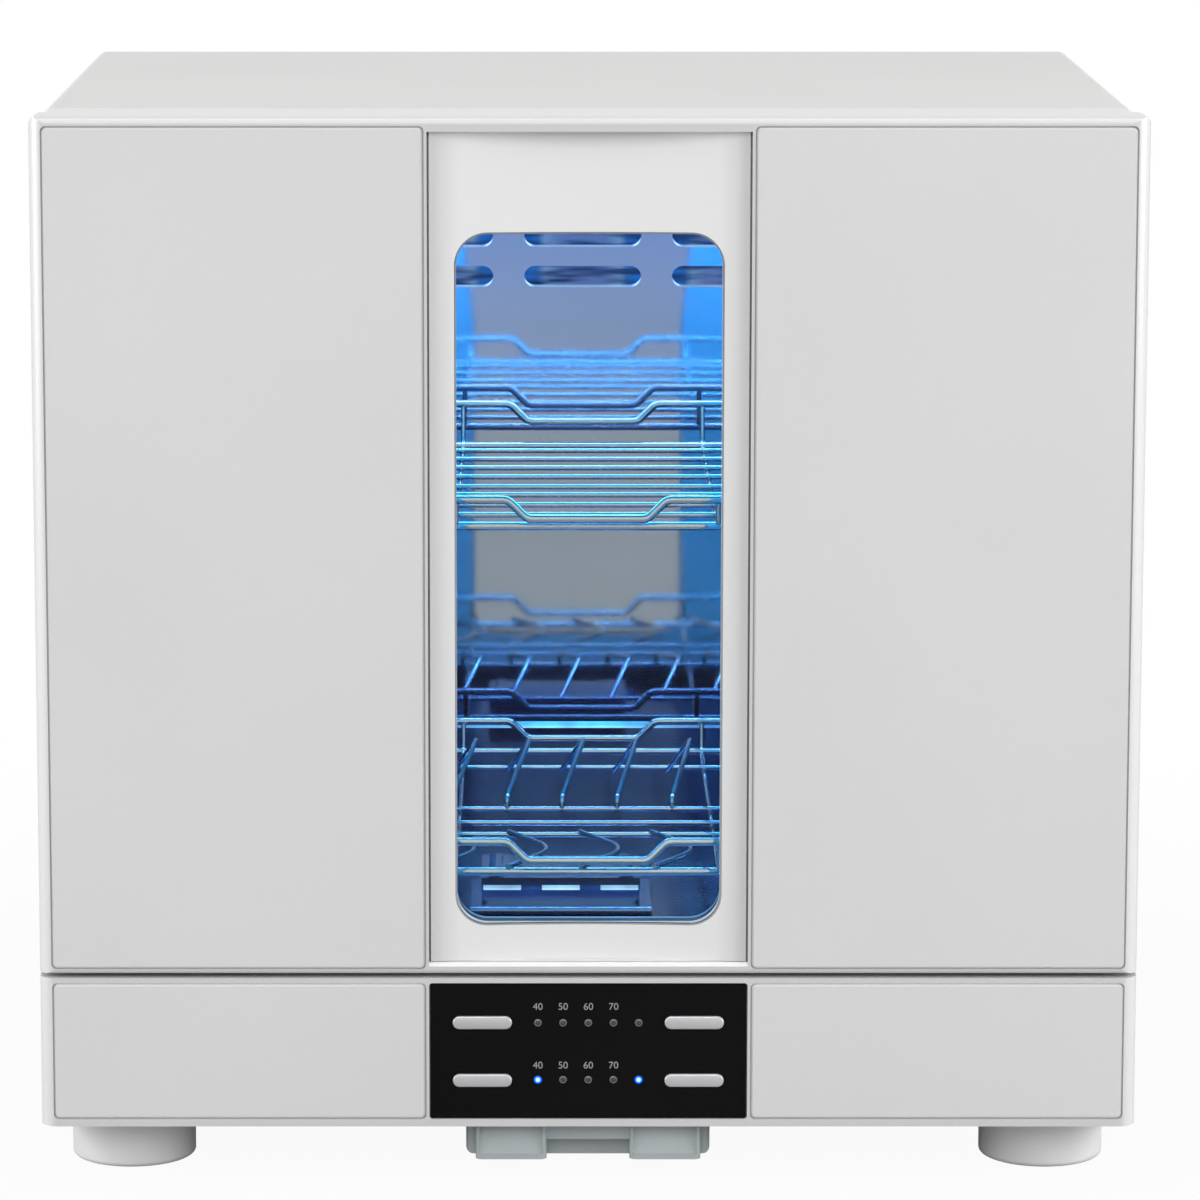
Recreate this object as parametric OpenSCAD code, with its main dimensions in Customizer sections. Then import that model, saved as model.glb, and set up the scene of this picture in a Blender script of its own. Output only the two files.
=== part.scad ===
// Countertop dish sterilizer and dryer cabinet, in millimetres.
// The origin is on the worktop under the middle of the cabinet, +Z is up and the door faces -Y.

/* [Cabinet] */
// Overall width
body_w = 500; // [480:1:540]
// Overall depth
body_d = 400; // [396:1:430]
// Height to the top of the door
total_h = 487; // [480:1:520]
// How far the door stands above the flat top of the case
door_rise = 2.3; // [1.5:0.1:3]
// Height of the feet
foot_h = 25; // [24:0.5:32]
// Height of the base housing
base_h = 69.5; // [66:0.5:76]
// Radius of the upright front edges
corner_r = 8; // [4:0.5:12]
// Wall of the plastic mouldings
wall_t = 3; // [2.5:0.25:4]
// Thickness of the folded steel sheets
sheet_t = 1.5; // [1:0.1:2]

/* [Door] */
// Thickness of the door
door_d = 23; // [22:0.5:26]
// Gap between door and base, and between door and front frame
door_gap = 2; // [1.5:0.25:3]
// Width of the sunk middle column
column_w = 145; // [135:1:155]
// Depth of the hollow across the middle column
column_sag = 6; // [3:0.5:8]
// Width of the window opening
window_w = 119.4; // [100:0.1:125]
// Height of the window opening
window_h = 315.4; // [280:0.1:325]
// Corner radius of the window opening
window_r = 14; // [8:0.5:18]
// Margin from a flush panel to the edge of the cabinet
panel_margin = 6.5; // [6:0.5:10]
// Dark gap round a flush panel
reveal = 0.8; // [0.5:0.1:1.2]

/* [Racks] */
// Thickness of the rim and frame wires
rim_wire = 4; // [3.5:0.1:4.5]
// Thickness of the floor wires
floor_wire = 2.6; // [2.2:0.1:3]
// Distance between two plate hoops
plate_pitch = 26.8; // [24:0.1:30]
// Distance between two cup hoops
cup_pitch = 34; // [30:0.5:38]
// How deep the rims dip in the middle
rim_dip = 9; // [6:0.5:11]

/* [Controls] */
// Length of a button
button_l = 27; // [22:0.5:30]
// Height of a button
button_h = 6; // [5:0.5:8]
// Travel of a button
button_travel = 0.8; // [0.5:0.1:1]
// Diameter of a lamp lens
lens_d = 4; // [3:0.1:5]
// Distance between two lamp lenses
lens_pitch = 11.5; // [10:0.1:13]

/* [Feet and tray] */
// Diameter of a foot
foot_d = 57; // [45:1:62]
// Width of the drip tray
tray_w = 112; // [105:1:116]
// Depth of the drip tray, front to back
tray_d = 150; // [130:1:170]

/* [Hidden] */
$fn = 48;

eps = 0.01;
half_w = body_w / 2;
front_y = -body_d / 2;
back_y = body_d / 2;
base_top = foot_h + base_h;
case_top = total_h - door_rise;

// Door, from the front face to the seam with the front frame
door_z0 = base_top + door_gap;
door_back = front_y + door_d;
seam = door_gap / 2;
frame_front = door_back + seam;
frame_d = 46;
frame_back = frame_front + frame_d;
skin = 5.5;               // depth of the front wall behind a flush panel
panel_t = 3;
panel_out = half_w - panel_margin;
panel_in = column_w / 2 + 2.1;
panel_z0 = door_z0 + 2.8;
panel_z1 = total_h - 5;
column_z0 = door_z0 + 5.1;
column_z1 = total_h - 6.7;
column_front = front_y + 2;
column_gap = 0.9;         // groove between the column and the door frame
column_lip = 1.6;         // sloping edge under the column
column_r = (pow(column_w / 2, 2) + pow(column_sag, 2)) / (2 * column_sag);
column_mid = column_front + column_sag;   // the hollow's deepest line
column_axis = column_mid - column_r;
fine = 360;                               // facets of the wide, flat arcs
window_z0 = door_z0 + 22.1;
window_z1 = window_z0 + window_h;
glass_front = column_mid + 3.5;
glass_t = 4;
liner_t = 3;
liner_front = door_back - liner_t;

// Hinge line, low behind the top edge of the door
hinge_y = door_back + 1.5;
hinge_z = total_h - 5.2;
barrel_r = 5;
barrel_half = 71.3;
pin_r = 2;
pin_fit = 0.05;
groove_reach = 5.9;       // from the hinge line to the wall of the groove behind it
groove_z = hinge_z - 7.3;
ear_in = barrel_half + 0.5;
ear_t = 4;
bush_r = 3.2;

// Door shell
side_t = 2.5;
edge_r = 3.5;
door_top_in = total_h - 3.5;
trim_ring = 0.8;          // width of the bright ring round the window
door_posts = [for (x = [-219, -110, 110, 219], z = [130, 285, 440]) [x, z]];
magnet_x = 237;
magnet_w = 8;
magnet_z = 150;
magnet_l = 40;

// Chamber
chamber_x = 224;
chamber_z0 = base_top + 2.5;
chamber_z1 = 456.5;
chamber_front = frame_back - 10;
mirror_y = 181;
mouth_x = 223.5;
mouth_z0 = chamber_z0 + 10;
mouth_z1 = 453;
mouth_r = 12;
guard_z = 345;
guard_top_y = 161;
guard_angle = atan((mirror_y - guard_top_y) / (chamber_z1 - guard_z));
slot_l = 60;
slot_h = 11.4;
slot_pitch = 75.8;
slot_rows = 21.4;
slot_z = 21.1;            // up the slope to the first row
slot_lip = 3;             // how far the edge of a slot is turned in
lamp_y = 183.5;
lamp_z = 424;
lamp_half = 150;

// Racks: where the rims and floors lie
rack_x = 211;
upper_front = -112;
upper_back = 151;
upper_floor = 288;
upper_rim_front = 301;
upper_rim_back = 309;
lower_front = -145;
lower_back = 141;
lower_floor = 131;
lower_rim = 146;
dip_top = 37;             // half the width of a dip at the rim
dip_low = 28;             // half the width of its flat bottom
ledge_w = 18;
upper_ribs = [-82.2, -52.4, -21.8, 3.2, 34.8, 64.2, 93, 122.2];
lower_ribs = [-67, -41, -9, 90];

// Controls, on the black fascia
fascia_z0 = foot_h + 3.9;
fascia_z1 = base_top - 2.8;
fascia_x = column_w / 2 - 0.5;
fascia_front = front_y + 1;
fascia_t = 3;
button_x = 48.3;
button_rows = [46.4, 73.5];
lens_rows = [46.6, 73.3];
board_front = front_y + 12;
board_t = 1.6;

// Base housing and what it holds
deck_z = base_top - wall_t;
trim_out = half_w - 6.7;
trim_in = column_w / 2 + 2.1;
trim_z0 = foot_h + 4;
trim_z1 = base_top - 3.1;
plate_z = foot_h + sheet_t;
fan_x = -12;
fan_y = 54;
fan_z0 = 32;
fan_h = 32;
fan_r = 56;
wheel_r = 46;
shaft_r = 2.5;
motor_top = 88;
outlet_x = -12;
outlet_y = -43.5;
outlet_w = 76;
outlet_d = 50;
cover_h = 13;
cover_wall = 1.2;
bead_y = -90.5;           // the rolled front edge of the cover's flange
drain_y = -130;
board_x = 69;
board_rows = [40, 80];
cord_x = 150;
cord_z = 52;
cord_r = 3.75;

// Feet and tray
foot_x = 210.5;
foot_y = 155;
pad_r = 23;
posts = concat([[-150, -130], [150, -130], [-215, 60], [215, 60], [-90, 170], [90, 170]],
               [for (x = [-foot_x, foot_x], y = [-foot_y, foot_y]) [x, y]]);
tray_z0 = 8.4;
tray_z1 = 24;
tray_front = front_y + 4;
tray_body = tray_front + 10;
tray_wall = 2;
rail_x = tray_w / 2 + 2;

// ---- Outlines -------------------------------------------------------------

// A rectangle with round corners, from its low left corner
module round_rect(w, h, r) {
    translate([r, 0]) square([w - 2 * r, h]);
    translate([0, r]) square([w, h - 2 * r]);
    for (x = [r, w - r], y = [r, h - r]) translate([x, y]) circle(r);
}

// A rectangle whose two upper corners are round
module arch_rect(w, h, r) {
    square([w, h - r]);
    translate([r, 0]) square([w - 2 * r, h]);
    for (x = [r, w - r]) translate([x, h - r]) circle(r);
}

// A rectangle whose two lower corners are round
module pan_rect(w, h, r) {
    translate([0, h]) mirror([0, 1]) arch_rect(w, h, r);
}

// The space inside a length, from low corner to high corner
module slab(low, high) {
    translate(low) cube(high - low);
}

// Stands an outline drawn in x and z upright, between two depths
module upright(y0, y1) {
    translate([0, y1, 0]) rotate([90, 0, 0]) linear_extrude(y1 - y0) children();
}

// Runs an outline drawn in y and z across the cabinet
module across(x0, x1) {
    translate([x0, 0, 0]) rotate([90, 0, 90]) linear_extrude(x1 - x0) children();
}

// A flat panel with round corners, facing the front
module front_panel(x0, x1, z0, z1, y0, y1, r) {
    upright(y0, y1) translate([x0, z0]) round_rect(x1 - x0, z1 - z0, r);
}

// A round bar from front to back
module rod_y(x, z, y0, y1, r) {
    translate([x, y1, z]) rotate([90, 0, 0]) cylinder(r = r, h = y1 - y0);
}

// A round bar across the cabinet
module rod_x(x0, x1, y, z, r) {
    translate([x0, y, z]) rotate([0, 90, 0]) cylinder(r = r, h = x1 - x0);
}

module both_sides() {
    children();
    mirror([1, 0, 0]) children();
}

// ---- Wires ----------------------------------------------------------------

function unit(v) = v / norm(v);

// One bend of a wire: points on an arc that rounds the corner b between a and c
function bend(a, b, c, r, steps) =
    let (u = unit(a - b), v = unit(c - b), half = acos(u * v) / 2, reach = r / tan(half),
         start = b + u * reach, axis = unit(u + v), centre = b + axis * r / sin(half),
         spread = 90 - half)
    [for (i = [0:steps])
        let (t = -spread + 2 * spread * i / steps)
        centre - axis * r * cos(t) + unit(v - u) * r * sin(t)];

// A route through corners, every corner rounded
function bent(corners, r, steps = 3) = concat(
    [corners[0]],
    [for (i = [1:len(corners) - 2]) each bend(corners[i - 1], corners[i], corners[i + 1], r, steps)],
    [corners[len(corners) - 1]]);

// The same for a route that closes on itself
function bent_loop(corners, r, steps = 3) =
    let (n = len(corners))
    [for (i = [0:n - 1])
        each bend(corners[(i + n - 1) % n], corners[i], corners[(i + 1) % n], r, steps)];

// A wire along a route: rings of points square to the route, joined into one skin.
// flat is a direction that the route never runs along.
module wire(route, r, flat, sides = 8, closed = false) {
    n = len(route);
    function along(i) = closed
        ? unit(route[(i + 1) % n] - route[(i + n - 1) % n])
        : unit(route[min(i + 1, n - 1)] - route[max(i - 1, 0)]);
    points = [for (i = [0:n - 1])
        let (d = along(i), a = unit(cross(flat, d)), b = cross(d, a))
        for (k = [0:sides - 1])
            route[i] + r * (a * cos(360 * k / sides) + b * sin(360 * k / sides))];
    faces = [for (i = [0:(closed ? n : n - 1) - 1], k = [0:sides - 1])
        let (j = (i + 1) % n, m = (k + 1) % sides)
        each [[i * sides + k, j * sides + k, j * sides + m],
              [i * sides + k, j * sides + m, i * sides + m]]];
    ends = closed ? [] : [
        [for (k = [0:sides - 1]) k],
        [for (k = [sides - 1:-1:0]) (n - 1) * sides + k]];
    polyhedron(points, concat(faces, ends));
}

// Corners of a rim: a rectangle with a dip in the middle of its front and back
function rim_corners(x, front, back, z_front, z_back, dip) = [
    [-x, front, z_front], [-dip_top, front, z_front], [-dip_low, front, z_front - dip],
    [dip_low, front, z_front - dip], [dip_top, front, z_front], [x, front, z_front],
    [x, back, z_back], [dip_top, back, z_back], [dip_low, back, z_back - dip],
    [-dip_low, back, z_back - dip], [-dip_top, back, z_back], [-x, back, z_back]];

// ---- Case and chamber -------------------------------------------------------

// Outline of the cabinet seen from the front, round at its upper corners
module case_outline(inset) {
    translate([-half_w + inset, base_top])
        arch_rect(body_w - 2 * inset, case_top - base_top - inset, 6 - inset / 2);
}

// The moulded ring round the chamber's mouth: a front wall with an outer and an inner skirt,
// and a step along its top edge where the door's edge turns
module front_frame() color("#F4F5F5") difference() {
    union() {
        upright(frame_front, frame_front + wall_t) case_outline(0);
        upright(frame_front, frame_back) difference() {
            case_outline(0);
            translate([0, -eps]) case_outline(wall_t);
        }
        slab([-half_w + wall_t, frame_front, base_top], [half_w - wall_t, chamber_front, base_top + 1.5]);
        upright(frame_front, chamber_front) mouth_outline(2);
        slab([-half_w + wall_t, frame_front, groove_z - 3],
             [half_w - wall_t, hinge_y + groove_reach + 3, case_top - 1]);
    }
    upright(frame_front - 1, frame_back + 1) mouth_outline(0);
    slab([-half_w - 1, frame_front - 1, groove_z], [half_w + 1, hinge_y + groove_reach, case_top + 1]);
    both_sides() slab([magnet_x - 0.1, frame_front - 1, magnet_z - 0.1],
                      [magnet_x + magnet_w + 0.1, frame_front + wall_t + 1, magnet_z + magnet_l + 0.1]);
}

// The chamber's mouth, wider all round by a margin
module mouth_outline(grow) {
    translate([-mouth_x - grow, mouth_z0 - grow])
        round_rect(2 * (mouth_x + grow), mouth_z1 - mouth_z0 + 2 * grow, mouth_r + grow);
}

// The folded sheet over both sides and the top, hemmed inwards along the bottom
module case_wrap() color("#DCDCDA") {
    upright(frame_back, back_y) difference() {
        case_outline(0);
        translate([0, -eps]) case_outline(sheet_t);
    }
    both_sides() slab([half_w - 12, frame_back, base_top], [half_w - sheet_t, back_y, base_top + sheet_t]);
}

// The rear sheet with its turned rim, a field of vent slots high up and one low down
module back_panel() color("#D2D3D3") {
    inset = sheet_t + 0.3;
    x = half_w - inset;
    z0 = base_top + sheet_t + 0.3;
    z1 = case_top - inset;
    y = back_y - 3;
    difference() {
        upright(y - 12, y) translate([-x, z0]) arch_rect(2 * x, z1 - z0, 5);
        upright(y - 13, y - sheet_t) translate([-x + sheet_t, z0 + sheet_t])
            arch_rect(2 * (x - sheet_t), z1 - z0 - 2 * sheet_t, 4);
        for (i = [-9:9], z = [150, 410])
            slab([i * 12 - 2, y - 2, z], [i * 12 + 2, y + 1, z + 34]);
    }
}

// The two stainless side sheets of the chamber, each folded at the front
module chamber_sides() color("#C9CED3") both_sides() {
    slab([chamber_x, chamber_front, chamber_z0], [chamber_x + sheet_t, mirror_y + 4, chamber_z1]);
    slab([chamber_x + sheet_t, mirror_y + 2, chamber_z0], [chamber_x + 12, mirror_y + 4, chamber_z1]);
}

// The chamber's top sheet, turned down behind the front frame
module chamber_ceiling() color("#C9CED3") {
    x = chamber_x + sheet_t;
    slab([-x, chamber_front, chamber_z1], [x, mirror_y + 10, chamber_z1 + sheet_t]);
    slab([-chamber_x, chamber_front, mouth_z1], [chamber_x, chamber_front + sheet_t, chamber_z1]);
}

// The chamber's floor, turned up at its front edge, with the hot air's opening and the drain
module chamber_floor() color("#C9CED3") difference() {
    union() {
        slab([-chamber_x, chamber_front, chamber_z0], [chamber_x, mirror_y, chamber_z0 + sheet_t]);
        slab([-chamber_x, chamber_front, chamber_z0], [chamber_x, chamber_front + sheet_t, mouth_z0]);
    }
    slab([outlet_x - outlet_w / 2 + 4, outlet_y - outlet_d / 2 + 4, chamber_z0 - 1],
         [outlet_x + outlet_w / 2 - 4, outlet_y + outlet_d / 2 - 4, chamber_z0 + 4]);
    translate([0, drain_y, chamber_z0 - 1]) cylinder(d = 9, h = 5);
}

// The polished sheet at the back of the chamber
module back_reflector() color("#B9BEC4")
    slab([-chamber_x, mirror_y, chamber_z0 + sheet_t], [chamber_x, mirror_y + 1.2, guard_z]);

// A place on the sloping guard: across, up the slope and out of its face
module on_guard() {
    translate([0, mirror_y, guard_z]) rotate([guard_angle, 0, 0]) children();
}

// The slots of the guard: rows of long openings, wider all round by a margin
module guard_slots(grow, y0, y1) {
    for (row = [0:3], i = [-2:2])
        translate([i * slot_pitch - slot_l / 2 - grow, 0, slot_z + row * slot_rows - grow]) upright(y0, y1)
            round_rect(slot_l + 2 * grow, slot_h + 2 * grow, slot_h / 2 + grow - eps);
}

// The sloping sheet in front of the lamp, pierced by slots whose edges are turned in
module lamp_guard() color("#B9BEC4") {
    slope = (chamber_z1 - guard_z) / cos(guard_angle);
    on_guard() difference() {
        union() {
            slab([-chamber_x, 0, 0.3], [chamber_x, 1.2, slope - 0.6]);
            guard_slots(1, 1, 1.2 + slot_lip);
        }
        guard_slots(0, -1, 2.2 + slot_lip);
    }
}

// The germicidal tube with its two metal caps
module uv_lamp() {
    color("#BFE6FF") rod_x(-lamp_half + 12, lamp_half - 12, lamp_y, lamp_z, 7.5);
    color("#C8CBCE") both_sides() {
        rod_x(lamp_half - 12, lamp_half, lamp_y, lamp_z, 8);
        for (dz = [-3, 3]) rod_x(lamp_half, lamp_half + 6, lamp_y, lamp_z + dz, 1);
    }
}

// The two sockets that the tube's pins turn into, on feet under the ceiling
module lamp_sockets() color("#F0EFEA") both_sides() difference() {
    union() {
        rod_x(lamp_half + 0.2, lamp_half + 14, lamp_y, lamp_z, 11);
        slab([lamp_half + 0.2, lamp_y - 9, lamp_z], [lamp_half + 14, lamp_y + 9, chamber_z1]);
    }
    for (dz = [-3, 3]) rod_x(lamp_half - 1, lamp_half + 8, lamp_y, lamp_z + dz, 1.1);
}

// The folded reflector behind the tube, hung from the ceiling
module lamp_reflector() color("#D5D9DC") {
    top = chamber_z1;
    slab([-lamp_half + 14, lamp_y + 10, lamp_z - 26], [lamp_half - 14, lamp_y + 11.2, top]);
    slab([-lamp_half + 14, lamp_y - 8, top - 1.2], [lamp_half - 14, lamp_y + 10, top]);
}

// Four folded ledges that carry the racks, along the chamber's sides
module rack_ledges() color("#BFC4C9") both_sides() for (z = [lower_floor, upper_floor]) {
    top = z - rim_wire / 2 - 0.2;
    slab([chamber_x - ledge_w, lower_front + 8, top - 1.5], [chamber_x, mirror_y - 6, top]);
    slab([chamber_x - 1.5, lower_front + 8, top - 14], [chamber_x, mirror_y - 6, top - 1.5]);
}

// Front of the cover over the hot air's opening: square above, round at its lower corners
module cover_outline(inset) {
    w = outlet_w - 2 * inset;
    translate([outlet_x - w / 2, chamber_z0 + sheet_t + inset]) pan_rect(w, cover_h - 2 * inset, 7 - inset);
}

// The pressed cover with three slots in its face, on a flange with a rolled front edge
module hot_air_outlet() color("#9AA3AA") difference() {
    z = chamber_z0 + sheet_t;
    front = outlet_y - outlet_d / 2;
    back = outlet_y + outlet_d / 2;
    low = [outlet_x - outlet_w / 2 - 5, bead_y, z];
    union() {
        upright(front, back) cover_outline(0);
        slab(low, [outlet_x + outlet_w / 2 + 5, back, z + 1]);
        rod_x(low.x, outlet_x + outlet_w / 2 + 5, bead_y, z + 2, 2);
    }
    upright(front + cover_wall, back - cover_wall) cover_outline(cover_wall);
    slab([outlet_x - outlet_w / 2 + 8, front + 4, z - 1], [outlet_x + outlet_w / 2 - 8, back - 4, z + 3]);
    for (i = [-1:1])
        slab([outlet_x + i * 28 - 9, front - 1, z + 7], [outlet_x + i * 28 + 9, front + 3, z + 9.4]);
}

// The spout that leads water from the chamber's floor down to the tray
module drain_spout() color("#C9CED3") translate([0, drain_y, 0]) difference() {
    low = tray_z1 + 0.6;
    union() {
        translate([0, 0, low]) cylinder(r = 5.5, h = chamber_z0 - low);
        translate([0, 0, base_top]) cylinder(r = 9, h = chamber_z0 - base_top);
    }
    translate([0, 0, low - 1]) cylinder(r = 4, h = chamber_z0);
}

// ---- Base housing and its contents -----------------------------------------

// Plan of the base, round at all four corners
module base_plan(inset) {
    translate([-half_w + inset, front_y + inset])
        round_rect(body_w - 2 * inset, body_d - 2 * inset, corner_r - inset / 2);
}

// The moulded base: a front with three sunk fields, a deck with its openings, and screw posts
module base_housing() color("#EFF0F0") difference() {
    union() {
        difference() {
            translate([0, 0, foot_h]) linear_extrude(base_h) base_plan(0);
            difference() {
                translate([0, 0, foot_h - 1]) linear_extrude(base_h - wall_t + 1) base_plan(wall_t);
                slab([-half_w, front_y, foot_h - 2], [half_w, front_y + skin, base_top]);
                both_sides() slab([half_w - 14, front_y, foot_h - 2], [half_w, front_y + skin + 3, base_top]);
            }
        }
        for (p = posts) translate([p.x, p.y, plate_z]) cylinder(r = 5, h = deck_z - plate_z + eps);
        for (x = [-board_x, board_x], z = board_rows) rod_y(x, z, front_y + skin - eps, board_front, 2.8);
    }
    for (p = posts) translate([p.x, p.y, plate_z - 1]) cylinder(r = 1.65, h = 25);
    for (x = [-board_x, board_x], z = board_rows) rod_y(x, z, front_y + skin, board_front + 1, 1);
    both_sides() front_panel(trim_in - reveal, trim_out + reveal, trim_z0 - reveal, trim_z1 + reveal,
                             front_y - 1, front_y + panel_t, 2.5);
    front_panel(-fascia_x - 0.5, fascia_x + 0.5, fascia_z0 - 0.5, fascia_z1 + 0.5,
                front_y - 1, fascia_front + fascia_t, 1.5);
    slab([-fascia_x + 6, front_y, fascia_z0 + 3], [fascia_x - 6, front_y + skin + 1, fascia_z1 - 3]);
    // hot air, drain and cord
    slab([outlet_x - outlet_w / 2 + 1, outlet_y - outlet_d / 2 + 1, deck_z - 1],
         [outlet_x + outlet_w / 2 - 1, outlet_y + outlet_d / 2 - 1, base_top + 1]);
    translate([0, drain_y, deck_z - 1]) cylinder(r = 6, h = wall_t + 2);
    rod_y(cord_x, cord_z, back_y - wall_t - 1, back_y + 1, 8);
    for (i = [-8:8]) slab([i * 12 - 22, back_y - wall_t - 1, 42], [i * 12 - 18, back_y + 1, 78]);
}

// The steel plate that closes the base, with the fan's intake and the spout's hole
module base_plate() color("#B4B6B6") difference() {
    translate([0, 0, foot_h]) linear_extrude(sheet_t) difference() {
        base_plan(wall_t + 0.3);
        translate([-half_w, front_y]) square([body_w, skin + 3.3]);
    }
    for (p = posts) translate([p.x, p.y, foot_h - 1]) cylinder(r = 2.2, h = 4);
    translate([0, drain_y, foot_h - 1]) cylinder(r = 6, h = 4);
    for (i = [-3:3])
        slab([fan_x + i * 9 - 2.2, fan_y - 24, foot_h - 1], [fan_x + i * 9 + 2.2, fan_y + 24, foot_h + 3]);
}

// A stadium-shaped outline round the middle of a button
module button_outline(grow) {
    translate([-button_l / 2 - grow, -button_h / 2 - grow])
        round_rect(button_l + 2 * grow, button_h + 2 * grow, button_h / 2 + grow - eps);
}

// The glossy black panel, bored for its buttons and lamps
module control_fascia() color("#141414") difference() {
    front_panel(-fascia_x, fascia_x, fascia_z0, fascia_z1, fascia_front, fascia_front + fascia_t, 1);
    for (x = [-button_x, button_x], z = button_rows)
        upright(fascia_front - 1, fascia_front + fascia_t + 1) translate([x, z]) button_outline(0.35);
    for (i = [-2:2], z = lens_rows)
        rod_y(i * lens_pitch, z, fascia_front - 1, fascia_front + fascia_t + 1, lens_d / 2);
}

// The moulded caps over the indicator lamps, sunk a little and flanged behind the panel
module lamp_lenses() color("#9FC9E8") for (i = [-2:2], z = lens_rows) {
    rod_y(i * lens_pitch, z, fascia_front + 0.5, fascia_front + fascia_t, lens_d / 2 - 0.02);
    rod_y(i * lens_pitch, z, fascia_front + fascia_t, fascia_front + fascia_t + 1.2, lens_d / 2 + 0.8);
}

// A push button: its cap, the flange that keeps it in and the stem that works the switch
module button(x, z) {
    color("#C3C4C6") {
        upright(front_y + eps, fascia_front + fascia_t + 1) translate([x, z]) button_outline(0);
        upright(fascia_front + fascia_t + 0.3, fascia_front + fascia_t + 1.5)
            translate([x, z]) button_outline(1.5);
        rod_y(x, z, fascia_front + fascia_t + 1.5, board_front - 4.5 - button_travel, 1.6);
    }
}

module button_hot_air() button(-button_x, button_rows[1]);
module button_uv() button(-button_x, button_rows[0]);
module button_auto() button(button_x, button_rows[1]);
module button_cancel() button(button_x, button_rows[0]);

// The board behind the panel, with its switches, lamps and four posts
module control_board() {
    color("#2E6B45") difference() {
        slab([-72, board_front, 36], [72, board_front + board_t, 84]);
        for (x = [-board_x, board_x], z = board_rows) rod_y(x, z, board_front - 1, board_front + 3, 1.4);
    }
    color("#26282B") for (x = [-button_x, button_x], z = button_rows) {
        slab([x - 3, board_front - 3.4, z - 3], [x + 3, board_front, z + 3]);
        rod_y(x, z, board_front - 4.4, board_front - 3.4, 1.75);
    }
    color("#DDE6EC") for (i = [-2:2], z = lens_rows)
        rod_y(i * lens_pitch, z, board_front - 6.5, board_front, 1.5);
    color("#303436") slab([-16, board_front + board_t, 52], [16, board_front + board_t + 3, 68]);
    color("#D8D4C4") slab([36, board_front + board_t, 40], [58, board_front + board_t + 6, 50]);
}

// A flush trim panel beside the controls, its rim lightly chamfered
module trim(x0, x1) color("#DADBDB") {
    front_panel(x0 + 0.6, x1 - 0.6, trim_z0 + 0.6, trim_z1 - 0.6, front_y + eps, front_y + panel_t, 1.4);
    front_panel(x0, x1, trim_z0, trim_z1, front_y + 0.6, front_y + panel_t, 2);
}

module trim_left() trim(-trim_out, -trim_in);
module trim_right() trim(trim_in, trim_out);

// The duct that turns the fan's air up through the deck
module heater_duct() color("#BFC3C6") {
    x0 = outlet_x - outlet_w / 2 + 2;
    x1 = outlet_x + outlet_w / 2 - 2;
    y0 = outlet_y - outlet_d / 2 + 2;
    y1 = outlet_y + outlet_d / 2 - 2;
    throat = [fan_z0 + 3, fan_z0 + fan_h - 3];
    difference() {
        union() {
            slab([x0, y0, plate_z + 0.5], [x1, y1, chamber_z0]);
            slab([fan_x - 34, y1 - 1, throat[0] - 2], [fan_x + 34, fan_y - 46, throat[1] + 2]);
        }
        slab([x0 + 1.5, y0 + 1.5, plate_z + 2], [x1 - 1.5, y1 - 1.5, chamber_z0 + 1]);
        slab([fan_x - 32, y1 - 3, throat[0]], [fan_x + 32, fan_y - 40, throat[1]]);
    }
}

// The finned heating block that stands across the duct
module heater_element() {
    x0 = outlet_x - outlet_w / 2 + 3.5;
    x1 = outlet_x + outlet_w / 2 - 3.5;
    color("#A9ADB0") {
        for (z = [68, 76, 84]) slab([x0, outlet_y - 12, z], [x1, outlet_y + 12, z + 2]);
        for (i = [0:15]) slab([x0 + 6 + i * 4.4, outlet_y - 11, 70], [x0 + 6.6 + i * 4.4, outlet_y + 11, 84]);
    }
    color("#E8E4DA") for (x = [x0, x1 - 4]) slab([x, outlet_y - 14, 66], [x + 4, outlet_y + 14, 88]);
}

// The scroll round the fan wheel, open to the plate's intake below and to the duct in front
module fan_housing() color("#3A3D40") translate([fan_x, fan_y, fan_z0]) difference() {
    union() {
        cylinder(r = fan_r, h = fan_h);
        for (a = [45:90:315]) rotate(a) translate([fan_r + 2, 0, plate_z - fan_z0]) difference() {
            cylinder(r = 6, h = fan_z0 - plate_z + 4);
            translate([0, 0, -1]) cylinder(r = 1.7, h = 20);
        }
    }
    translate([0, 0, 2]) cylinder(r = fan_r - 2, h = fan_h - 4);
    translate([0, 0, -1]) cylinder(r = 30, h = 4);
    translate([0, 0, fan_h - 3]) cylinder(r = 9, h = 4);
    slab([-34, -fan_r - 1, 1], [34, -40, fan_h - 1]);
}

// The fan's wheel: a disc with a hub, curved blades and a ring that ties their lower ends
module fan_wheel() color("#D9DADB") translate([fan_x, fan_y, fan_z0 + 5]) {
    blades = 16;
    difference() {
        union() {
            translate([0, 0, 20]) cylinder(r = wheel_r, h = 2);
            translate([0, 0, 8]) cylinder(r = 8, h = 12.5);
        }
        translate([0, 0, 4]) cylinder(r = shaft_r, h = 20);
    }
    difference() {
        cylinder(r = wheel_r, h = 2);
        translate([0, 0, -1]) cylinder(r = wheel_r - 11, h = 4);
    }
    intersection() {
        difference() {
            cylinder(r = wheel_r - 0.5, h = 20.5);
            translate([0, 0, -1]) cylinder(r = wheel_r - 12, h = 24);
        }
        for (i = [0:blades - 1]) rotate(i * 360 / blades) translate([wheel_r - 10, 9, 0.5]) difference() {
            cylinder(r = 13, h = 19.8);
            translate([0, 0, -1]) cylinder(r = 12, h = 22);
            translate([-20, -20, -1]) cube([40, 20, 24]);
            translate([-20, -20, -1]) cube([20, 40, 24]);
        }
    }
}

module fan_shaft() color("#9DA2A6") translate([fan_x, fan_y, fan_z0 + 10])
    cylinder(r = shaft_r, h = motor_top - fan_z0 - 14);

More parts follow.
